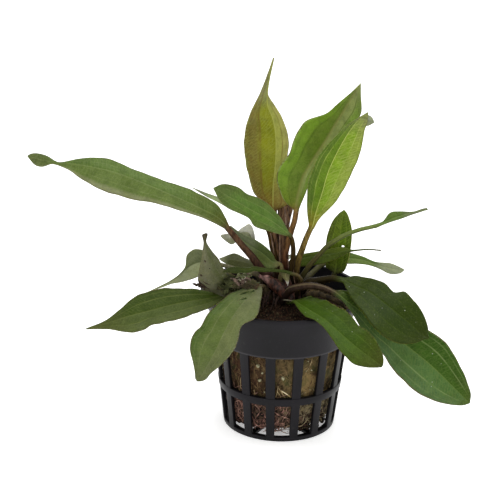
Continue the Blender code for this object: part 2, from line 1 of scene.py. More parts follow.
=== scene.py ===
import collections
import json
import math
import random
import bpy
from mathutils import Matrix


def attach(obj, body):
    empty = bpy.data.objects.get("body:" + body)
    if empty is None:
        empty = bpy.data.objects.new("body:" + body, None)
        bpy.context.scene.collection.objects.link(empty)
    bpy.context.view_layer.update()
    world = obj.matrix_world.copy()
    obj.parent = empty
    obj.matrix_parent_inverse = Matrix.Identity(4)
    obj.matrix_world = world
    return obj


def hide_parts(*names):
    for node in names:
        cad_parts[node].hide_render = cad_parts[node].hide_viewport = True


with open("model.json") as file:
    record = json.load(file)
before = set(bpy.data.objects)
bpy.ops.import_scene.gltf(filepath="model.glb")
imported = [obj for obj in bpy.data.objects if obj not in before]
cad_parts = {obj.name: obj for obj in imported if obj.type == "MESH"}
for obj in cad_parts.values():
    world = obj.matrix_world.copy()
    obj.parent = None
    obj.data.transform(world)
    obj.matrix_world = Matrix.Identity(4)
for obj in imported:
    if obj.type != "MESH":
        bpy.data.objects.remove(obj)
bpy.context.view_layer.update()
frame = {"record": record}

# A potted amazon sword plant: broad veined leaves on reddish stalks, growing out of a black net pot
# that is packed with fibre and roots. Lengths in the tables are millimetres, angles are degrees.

import types

import bmesh
import bpy
import numpy as np
from mathutils import Matrix, Vector

MM = 0.001
dice = random.Random(7)

SLOT_OF = {part["node"]: part["material_slot"] for part in frame["record"]["subparts"]}

# base: radius, direction and height at the crown; route: the midrib from the crown to the tip
# blade: share of the length where the blade starts; fold: rise of both halves from the midrib
# stalk: radius at the crown and under the blade; face: directions of the upper side, as turn and rise
# left, right: the two edges from the blade's start to its tip, as points of the photograph or, for a leaf
# that is partly hidden, as half widths
Leaf = collections.namedtuple("Leaf", "base route blade left right face fold stalk")
LEAVES = {
    # tall olive leaf, straight up, with a long drawn-out tip
    "leaf_01": Leaf(
        base=(2, 127, 50.5), blade=0.34, fold=22, stalk=(1.1, 1.0),
        face=[(-100, 5), (-110, 12), (-110, 15), (-110, 20)],
        route=[
            (-1.1, 3, 56.6), (-1.7, 3.8, 60.5), (-2.1, 4, 64.6), (-2.6, 4.2, 69.4), (-3.1, 4.4, 74.2),
            (-3.7, 4.6, 79.4), (-4.1, 5, 86.8), (-3.7, 5.5, 92.2), (-3.4, 6.5, 98.5), (-3.6, 8, 105),
            (-4.7, 9, 110.6), (-6.6, 10, 115.3), (-6.9, 11.2, 119.6), (-6.2, 12.2, 125), (-4.9, 13, 132),
        ],
        left=[
            (272, 210), (266, 204), (256, 197), (251, 188), (249, 177), (245, 160), (244, 145), (245, 130),
            (249, 116), (256, 101), (262, 88), (267, 75), (273, 57.6),
        ],
        right=[
            (277, 209), (284, 207.5), (289, 205), (287.5, 194), (285.5, 180), (287, 162), (289, 145),
            (287, 131), (283, 119), (276, 107), (270, 98), (267.2, 92), (267.4, 86), (270.4, 76),
            (274.4, 58),
        ],
    ),
    # tall green leaf folded along a brown midrib, leaning right
    "leaf_02": Leaf(
        base=(1.3, 25, 51), blade=0.37, fold=26, stalk=(1.05, 1.0),
        face=[(-105, 5), (-112, 12), (-100, 18), (-62, 25)],
        route=[
            (0.8, 0, 56), (0.6, 0, 62.4), (1.1, 0, 65.8), (1.8, 0, 69.2), (2.7, 0, 73), (3.7, 0, 76.8),
            (4.2, 0.3, 81.2), (4.6, 0.6, 85.9), (5.6, 1, 90.6), (6.8, 1.2, 93.9), (9.8, 2, 99.2),
            (13.9, 3, 105.8), (17.4, 4, 112.1), (20.4, 5, 117.1), (22.7, 5.6, 121.4), (25.2, 6, 125.5),
        ],
        left=[
            (293.5, 212), (287, 206), (281, 195), (277, 183), (277, 172), (281, 165), (289, 154),
            (293.5, 140), (300, 128), (307, 120), (326, 113.5), (336, 105), (349, 94), (360, 84),
        ],
        right=[
            (297.5, 212), (301, 203), (306.5, 192), (310, 180), (320, 165), (335, 150), (350, 130),
            (361, 114), (361, 96), (361, 84),
        ],
    ),
    # bright green leaf in front of the tall ones, its tip hooked over
    "leaf_03": Leaf(
        base=(3.7, -8, 50), blade=0.35, fold=18, stalk=(1.15, 0.95),
        face=[(-90, 5), (-85, 10), (-85, 12), (-80, 10), (-75, 10)],
        route=[
            (4.6, -1.6, 57.7), (5.1, -2, 61.3), (5.7, -2.6, 64.2), (6.5, -3, 66.7), (7.6, -4, 70.8),
            (9, -4.6, 74.8), (9.9, -5, 76.9), (10.9, -5.6, 81.9), (12.8, -6.4, 89.5), (14.8, -7, 97.9),
            (18.5, -7, 106.7), (22.1, -6.6, 113.1), (25.1, -6.2, 116.8), (27.5, -6, 118.7),
        ],
        left=[
            (309, 226), (307, 212), (307, 195), (308, 182), (311, 174), (317, 158), (328, 144),
            (346, 125.5), (358, 118), (367.5, 112.2),
        ],
        right=[
            (315, 226), (322, 216), (336, 202), (347, 183), (357, 162), (362.7, 143), (364.6, 131),
            (367, 124), (368.6, 113),
        ],
    ),
    # the longest leaf, reaching left, a twisted neck before its end lobe
    "leaf_04": Leaf(
        base=(5.2, 193, 49.7), blade=0.31, fold=-12, stalk=(1.5, 1.05),
        face=[(-100, 30), (-100, 40), (-95, 45), (-90, 45), (-90, 38), (-90, 20)],
        route=[
            (-5.4, -4.5, 56.8), (-8, -5.6, 60.5), (-11, -7, 65.2), (-14.3, -8, 69.4), (-16.8, -9, 72.9),
            (-18.9, -9.6, 75.7), (-21.7, -10.4, 79.3), (-26, -12, 83), (-35.5, -13, 88), (-47, -13, 93),
            (-58.5, -12, 97), (-69.5, -11, 99), (-78.5, -10, 99.5), (-84, -9, 100), (-89, -9, 101.3),
        ],
        left=[
            (229, 233), (216, 224.5), (194, 215), (149, 202), (133, 200), (105, 191.5), (91, 185),
            (78, 177), (71.3, 171.5), (64, 167.9), (57, 165.2), (50.8, 164), (47, 166), (42, 167.2),
            (35, 165.4), (28, 157.5),
        ],
        right=[
            (229, 226), (216, 204), (194, 191), (166, 181), (136, 170), (113, 160), (96, 157.4),
            (80, 158.3), (70, 160.5), (61, 162.2), (56.4, 161.6), (48, 156), (39, 153.3), (31.7, 153.4),
            (27.6, 155.4),
        ],
    ),
    # broad round-tipped leaf reaching left across the stalks
    "leaf_05": Leaf(
        base=(3.4, -62, 50.5), blade=0.38, fold=8, stalk=(1.0, 0.75),
        face=[(-120, 20), (-100, 36), (-95, 38), (-95, 38)],
        route=[
            (2.4, -3, 56.5), (3.1, -3.6, 60.8), (3.4, -4.4, 64.9), (3.3, -5, 68.5), (2.5, -6, 72.4),
            (0.2, -8.4, 75.6), (-5.5, -13, 81.5), (-12, -16, 86), (-18.5, -19, 91), (-24.5, -21, 95.5),
        ],
        left=[
            (291, 237), (286, 236), (267.5, 231), (254, 226), (248, 218), (229, 209), (220, 201),
            (213, 188),
        ],
        right=[
            (293, 236), (289, 232), (281, 218), (270.5, 206), (260, 198.5), (248, 194), (240, 188),
            (232, 185), (222, 184), (213, 188),
        ],
    ),
    # dark leaf lying out to the left
    "leaf_06": Leaf(
        base=(8.4, 196, 48.8), blade=0.22, fold=8, stalk=(1.15, 0.95),
        face=[(-120, 60), (-100, 55), (-95, 50), (-90, 45)],
        route=[
            (-9.5, -5, 52), (-15, -7.5, 51.8), (-23.7, -15, 52.8), (-32.3, -18.4, 52.5), (-39.1, -21, 51.9),
            (-45.9, -23.6, 50.8), (-52.7, -25.6, 49.6), (-60.2, -27, 47.4), (-68, -27, 45),
        ],
        left=[
            (221, 302), (207, 309), (192, 315), (167, 322.5), (151, 325), (147, 328), (141, 331.5),
            (133, 333), (124, 332), (110.5, 329.5), (86, 329.4),
        ],
        right=[
            (222, 294), (211, 291.5), (198, 289.5), (183, 288), (163.5, 288.4), (148, 291), (133, 298),
            (121, 308), (106, 320), (86, 328.4),
        ],
    ),
    # pale leaf hanging over the rim at front left
    "leaf_07": Leaf(
        base=(8.4, 238, 48.8), blade=0.18, fold=6, stalk=(1.1, 0.8),
        face=[(-110, 60), (-100, 45), (-100, 30), (-100, 20)],
        route=[
            (-7, -8, 54.5), (-9, -14, 55.5), (-13, -21, 54.5), (-17, -28, 51.5), (-20, -32, 47),
            (-22.5, -35, 42), (-25.5, -37, 36.5), (-28.8, -38, 31),
        ],
        left=[
            (263, 284), (261.6, 297), (258.3, 314), (254, 319.5), (245, 323), (240, 329), (238.7, 338),
            (233.3, 351), (220, 366), (211.5, 373), (206, 379.4), (201, 381.6),
        ],
        right=[
            (261, 284), (250, 286), (236, 291), (222, 299), (213, 308), (205, 318), (200.6, 327),
            (195, 330.6), (191, 340), (190, 349), (192, 360), (194.6, 371), (195.4, 379), (199, 381.6),
        ],
    ),
    # short leaf hanging over the rim at front right
    "leaf_08": Leaf(
        base=(8.6, -72, 48.8), blade=0.02, fold=8, stalk=(1.1, 0.8),
        face=[(-70, 55), (-70, 45), (-70, 40), (-70, 40)],
        route=[
            (4.5, -13, 51), (9, -21, 51.5), (14, -29, 51.5), (18.5, -33, 49), (22.5, -36, 46.5),
            (27, -38, 43.5), (34, -40, 39),
        ],
        left=[
            (290, 298), (303, 295), (314, 296.4), (326, 301), (343, 309.3), (352.6, 317.4), (358.2, 324.4),
            (369, 332), (378, 344), (383.2, 356), (383.4, 366.4),
        ],
        right=[
            (290, 301), (294, 303), (298, 309), (305, 316), (312, 319), (321, 325), (331, 337), (339, 350),
            (352, 362.8), (364, 367), (375, 367.8), (382.4, 367.2),
        ],
    ),
    # largest low leaf, its stalk arching over the rim at the right
    "leaf_09": Leaf(
        base=(6.5, -95, 49), blade=0.27, fold=8, stalk=(1.6, 1.0),
        face=[(-60, 60), (-62, 50), (-68, 38), (-72, 30), (-75, 28)],
        route=[
            (1.6, -8.4, 52.6), (3.6, -10, 54.8), (6, -11, 55.9), (9.1, -12, 56.8), (11.9, -13, 57),
            (14.7, -14, 56.7), (17.4, -15.2, 55.9), (20, -15.6, 54.2), (26.5, -17, 50), (35.5, -18, 43),
            (43.5, -18, 37.5), (52.5, -19, 30.5), (60.5, -20, 23), (67, -20, 16.5),
        ],
        left=[
            (333, 289), (345, 290), (360, 292), (380, 296), (400, 305), (429, 330), (437, 335), (446, 343),
            (453.5, 353), (461, 367.5), (468, 384), (471, 394), (470, 402),
        ],
        right=[
            (334, 293), (344, 303), (353, 315), (360, 327), (370, 342), (384, 356), (395, 372), (407, 384),
            (418, 393), (433, 400.5), (449, 404.5), (462, 405.5), (469, 403.6),
        ],
    ),
    # dark broad leaf above the low right one
    "leaf_10": Leaf(
        base=(6.4, -18, 49), blade=0.32, fold=8, stalk=(1.3, 1.1),
        face=[(-80, 70), (-66, 48), (-68, 38), (-70, 32)],
        route=[
            (8.6, -4, 54.6), (11, -5, 55.8), (13.8, -6.5, 57), (16.5, -8, 58.1), (18.6, -9.5, 58.7),
            (21.4, -11, 58.6), (26, -13.4, 57.3), (30.5, -17, 56.5), (38, -22, 52.5), (44.5, -25, 48.2),
            (48.6, -27, 45.2), (50.6, -27.8, 44.6),
        ],
        left=[
            (337, 277), (346, 278), (354.5, 275), (368, 278), (380, 281), (386, 284), (395, 292),
            (404.4, 291), (414, 301), (423.3, 313), (428, 327), (428, 333.6),
        ],
        right=[
            (337, 279), (342, 281), (351, 298), (361.5, 311), (371, 325), (383, 335.5), (397, 343),
            (411.5, 344), (421, 341), (427, 335.4),
        ],
    ),
    # small upright oval leaf at the right
    "leaf_11": Leaf(
        base=(6.4, 8, 49.2), blade=0.42, fold=12, stalk=(0.95, 0.85),
        face=[(-90, 60), (-100, 20), (-100, 8), (-100, 8)],
        route=[
            (9.3, 5.4, 50.4), (12.9, 7.2, 50.5), (15.8, 8.6, 50.7), (18, 9.4, 51.6), (19.2, 10, 54.3),
            (19.6, 10, 58.2), (20.1, 10, 63.9), (20.6, 10.6, 70.2), (21.4, 11, 77),
        ],
        left=[
            (330, 277), (325.5, 272), (325.5, 262), (325.5, 247), (327, 235.5), (332, 222), (338, 214),
            (343.4, 210),
        ],
        right=[
            (338, 276), (345, 270), (349, 258), (351.5, 243), (352, 230), (349.5, 219), (347, 213),
            (344.4, 210),
        ],
    ),
    # thin stalk running up to the right, with a small narrow blade
    "leaf_12": Leaf(
        base=(5, 40, 49.5), blade=0.66, fold=8, stalk=(0.85, 0.75),
        face=[(-100, 40), (-100, 40), (-100, 50), (-90, 60)],
        route=[
            (6.5, 2, 54), (8, 1.6, 56.6), (9.6, 1.2, 59.4), (12.4, 1, 63), (14.8, 1, 66.1), (17.5, 1, 68.4),
            (21.7, 2, 70.8), (27, 3, 72.6), (31.6, 4, 73.5), (36, 4.6, 75), (39.5, 5, 76.6), (45, 5, 78.5),
            (50.8, 5, 80),
        ],
        left=[(374, 225), (382, 222), (389.6, 212.9), (399, 211), (412.7, 211.7), (422, 209), (427, 207.8)],
        right=[(376, 228), (387.7, 223), (401, 219), (414.6, 214), (427, 209.6)],
    ),
    # pale leaf at the back right, turned over near its end
    "leaf_13": Leaf(
        base=(7.6, 40, 48.8), blade=0.42, fold=6, stalk=(0.9, 0.75),
        face=[(-90, 50), (-90, 50), (-90, 50), (-95, 40), (-95, 30)],
        route=[
            (8.6, 8.4, 51.3), (10.8, 11, 52.5), (13, 13, 53.9), (15.9, 14.5, 55.2), (19.1, 15.6, 56.3),
            (23.5, 16.6, 56.3), (29.2, 19.5, 54.7), (32.6, 21, 53), (36, 22, 51.6), (39.8, 23, 50.3),
            (45.2, 24, 49.4),
        ],
        left=[
            (338, 252), (349, 252.5), (362, 256), (371, 260), (377, 262), (390, 263), (398, 266),
            (404.4, 269.4),
        ],
        right=[
            (338, 263), (349, 264), (358, 264), (371, 266), (380.6, 269.6), (390, 274), (399.6, 273.6),
            (404.4, 270.4),
        ],
    ),
    # narrow leaf at the right that ends in a needle
    "leaf_14": Leaf(
        base=(4.6, 72, 50), blade=0.21, fold=6, stalk=(0.9, 0.6),
        face=[(-90, 45), (-90, 45), (-90, 45), (-90, 45)],
        route=[
            (2.5, 5, 58), (4, 5, 59.5), (8, 5.5, 60.7), (12.5, 5.5, 61.6), (17.5, 5.5, 62.4),
            (22, 5.5, 63.4), (26, 6.5, 63.5), (30.5, 8, 63.3), (35.5, 9, 62.8),
        ],
        left=[
            (291, 258), (296, 255), (305.9, 253.2), (325.4, 249.9), (338, 247.5), (345, 247), (351, 249.5),
            (368, 248.7), (381, 250),
        ],
        right=[
            (291, 265), (299, 266.6), (312, 265.8), (323, 264), (333, 260.5), (341, 256.5), (351, 252),
            (368, 250), (381, 251),
        ],
    ),
    # small leaf tucked against the stalk of the longest one
    "leaf_15": Leaf(
        base=(4.2, 245, 50), blade=0.33, fold=8, stalk=(0.9, 0.6),
        face=[(-110, 30), (-110, 35), (-110, 30), (-110, 25)],
        route=[
            (-0.5, -3.6, 60.3), (-4, -3.1, 62.2), (-7.5, -2.6, 65), (-12, -1.9, 67.6), (-15.5, -1.4, 70.3),
            (-19, -0.6, 74.3),
        ],
        left=[(277, 268), (266, 268), (256, 262), (249, 253), (240, 243), (231, 232), (229, 226)],
        right=[(278, 264), (272, 253), (265, 246), (257, 240.5), (250, 237), (241, 233), (230, 225)],
    ),
    # small pale leaf behind, at the left
    "leaf_16": Leaf(
        base=(5.2, 135, 49.5), blade=0.5, fold=6, stalk=(0.8, 0.5),
        face=[(-100, 20), (-80, 20), (-90, 25), (-100, 25)],
        route=[
            (-7.4, 6, 58.3), (-9.7, 8, 62.2), (-11, 9, 65.5), (-12.2, 10, 67.7), (-14.1, 11, 67.7),
            (-16.2, 11.5, 66.8), (-19.1, 11.5, 64.9), (-22.4, 11, 66.2),
        ],
        left=[
            (254, 239), (251, 241), (245, 239), (240, 240), (236, 242), (232, 244.8), (227, 242),
            (223, 239), (219.8, 235.6),
        ],
        right=[
            (254, 232), (250.5, 223.4), (245, 226), (240, 229), (236, 233), (232, 235), (228, 233.6),
            (220, 234.6),
        ],
    ),
    # narrow leaf behind the longest one
    "leaf_17": Leaf(
        base=(2.7, 190, 50.5), blade=0.46, fold=8, stalk=(1.1, 0.9),
        face=[(-100, 10), (-120, 25), (-100, 40), (-100, 45)],
        route=[
            (-2.2, 0.6, 57), (-3, 1.5, 62.5), (-4, 2, 66), (-4.8, 2.5, 70), (-6.3, 3, 73.2),
            (-9.2, 3.5, 75.9), (-14, 4, 78.5), (-21, 5, 81), (-27.5, 6, 83.5), (-33, 6, 86),
        ],
        left=[(258, 226), (245, 216), (230, 209), (217, 202), (205, 196), (191, 187)],
        right=[(262, 224), (252, 212), (240, 204), (225, 199), (207, 193), (191, 187)],
    ),
    # wilted leaf, standing up from a crumpled lower half
    "leaf_18": Leaf(
        base=(6.3, 222, 49), blade=0.26, fold=6, stalk=(0.95, 0.7),
        face=[(-110, 60), (-100, 30), (-90, 0), (-85, -8), (-85, -5)],
        route=[
            (-9.2, -6.4, 54.2), (-13, -9.8, 55.5), (-18.5, -12.5, 56.8), (-22.6, -15, 59), (-25, -17, 63.1),
            (-26.4, -17, 67.5), (-27.2, -16.5, 71.6), (-27.6, -16, 74.2), (-27.2, -15, 76.8),
        ],
        left=[
            (240, 299), (225, 298), (210, 292.6), (201.4, 287.6), (197.6, 279.6), (199.4, 269),
            (201.6, 258), (203, 247), (203.4, 242), (202, 236.6), (201.8, 234),
        ],
        right=[
            (246, 278), (238, 276), (230, 273), (224, 268.6), (218.6, 259), (211.4, 250), (206.6, 242),
            (207.6, 236), (208, 232.2),
        ],
    ),
    # grey-green leaf drooping left behind the wilted one
    "leaf_19": Leaf(
        base=(7.4, 152, 48.8), blade=0.42, fold=8, stalk=(0.95, 0.7),
        face=[(-100, 40), (-100, 35), (-100, 25), (-100, 30)],
        route=[
            (-8.5, 5, 53.5), (-15, 7, 54.4), (-21.5, 7, 56.4), (-27.4, 6.4, 57.6), (-31.8, 6, 56.8),
            (-35, 5, 54.6), (-37.8, 4, 52.4), (-42, 3, 49.9), (-47.2, 2, 47.8),
        ],
        left=[
            (214, 268), (205, 272), (198.4, 276.6), (190, 279.8), (181, 282.5), (172, 284), (163.6, 287),
            (151, 291.4),
        ],
        right=[
            (214, 256), (206, 251), (201, 249.4), (192, 248.8), (191, 252.6), (186.4, 253.4), (185.4, 266),
            (178.8, 274.5), (171, 280), (163.6, 284), (150.6, 290.4),
        ],
    ),
    # small dark leaf at the back left
    "leaf_20": Leaf(
        base=(5, 105, 49.5), blade=0.35, fold=6, stalk=(0.9, 0.6),
        face=[(-100, 50), (-100, 45), (-100, 45)],
        route=[(-4.5, 8, 53.5), (-7.5, 12, 54), (-12.5, 17, 53.5), (-17, 21, 53), (-23, 24, 52)],
        left=[(262, 270), (250, 272), (240, 270), (231, 266.5), (221, 261)],
        right=[(262, 264), (246.5, 258.5), (236, 253.5), (229, 254.5), (219, 258.5)],
    ),
    # narrow curled leaf lying across the stalks to the left
    "leaf_21": Leaf(
        base=(5.6, -40, 49.5), blade=0.3, fold=10, stalk=(0.95, 0.6),
        face=[(-80, 60), (-100, 40), (-100, 30), (-100, 30)],
        route=[
            (6.4, -6, 55.5), (5.2, -8, 58.8), (2.9, -10, 60.4), (0.1, -12, 62), (-4, -14.5, 63.3),
            (-7.5, -17, 64.3), (-10.2, -19, 65.5), (-12.4, -20.5, 65.5), (-15.8, -21.5, 66),
            (-18.8, -22, 66), (-21.4, -22, 65),
        ],
        left=(0.7, 0.6, 0.6, 0.7, 0.8, 0.9, 1.1, 1.3, 0),
        right=(0.7, 0.6, 0.5, 0.8, 0.9, 0.8, 0.9, 1, 0),
    ),
    # leaf drooping over the rim at the back
    "leaf_22": Leaf(
        base=(7.4, 99, 48.8), blade=0.3, fold=8, stalk=(1.05, 0.75),
        face=[(90, 85), (90, 80), (90, 60), (90, 50)],
        route=[(0, 9, 53), (0, 17, 55), (-1, 26, 53), (-2, 35, 48), (-4, 44, 41)],
        left=(0.8, 3, 5.5, 6, 5, 3, 0),
        right=(0.8, 3, 5.5, 6, 5, 3, 0),
    ),
}


# colours as seen on each leaf, some with painted light and shade in them; the first four are its left half,
# right half, midrib and lower side
# left_in, right_in: the inner band of each half; seam: where the outer band starts, as a share of the half
# vein: the long side veins; base, tip: the two ends of the blade; bands: where these two end; rim: the edge
# low, high: the stalk near the crown, darker there partly with painted shade, and under the blade; streaks:
# how clear its dark streaks are
# crest: a painted highlight along the top of the stalk; neck: how far in the stalk's colour reaches
# tone: all the leaf's colours times this; ridge: how softly the two halves meet; gloss: roughness
# veins, rungs, ribs: how clear the side veins, the fine rungs and the midrib are
# left_rungs: how clear the rungs of the left half are next to those of the right
# lean: how far the rungs climb on their way out, left and right; vein_wide, rib_wide: widths
# specks: pale dots; wave: ripples of the edge in millimetres; crumple: dents all over
PLAIN_LOOK = {
    "left_in": None, "right_in": None, "vein": None, "base": None, "tip": None, "rim": (92, 86, 56),
    "low": (54, 32, 25), "high": (76, 58, 36), "crest": None, "tone": (1, 1, 1), "veins": 0.4,
    "rungs": 0.35, "left_rungs": 1.0, "lean": (0.8, 0.8), "ribs": 0.5, "vein_wide": 0.04, "rib_wide": 0.3,
    "bands": (0.14, 0.8), "seam": 0.56, "ridge": 0.04, "neck": 3.5, "streaks": 0.7, "specks": 0,
    "wave": 0.25, "crumple": 0, "gloss": 0.42,
}


def look(left, right, rib, under, **more):
    """One leaf's look: what it doesn't name follows its neighbours or the plain look."""
    found = dict(PLAIN_LOOK, left=left, right=right, rib=rib, under=under, **more)
    for name, like in (("left_in", left), ("right_in", right), ("vein", rib)):
        found[name] = found[name] or like
    for name in ("base", "tip"):
        found[name] = found[name] or tuple((a + b) / 2 for a, b in zip(left, right))
    for name, value in found.items():
        if name != "tone" and isinstance(value, tuple) and len(value) == 3:
            found[name] = tuple(part * share for part, share in zip(value, found["tone"]))
    return types.SimpleNamespace(**found)


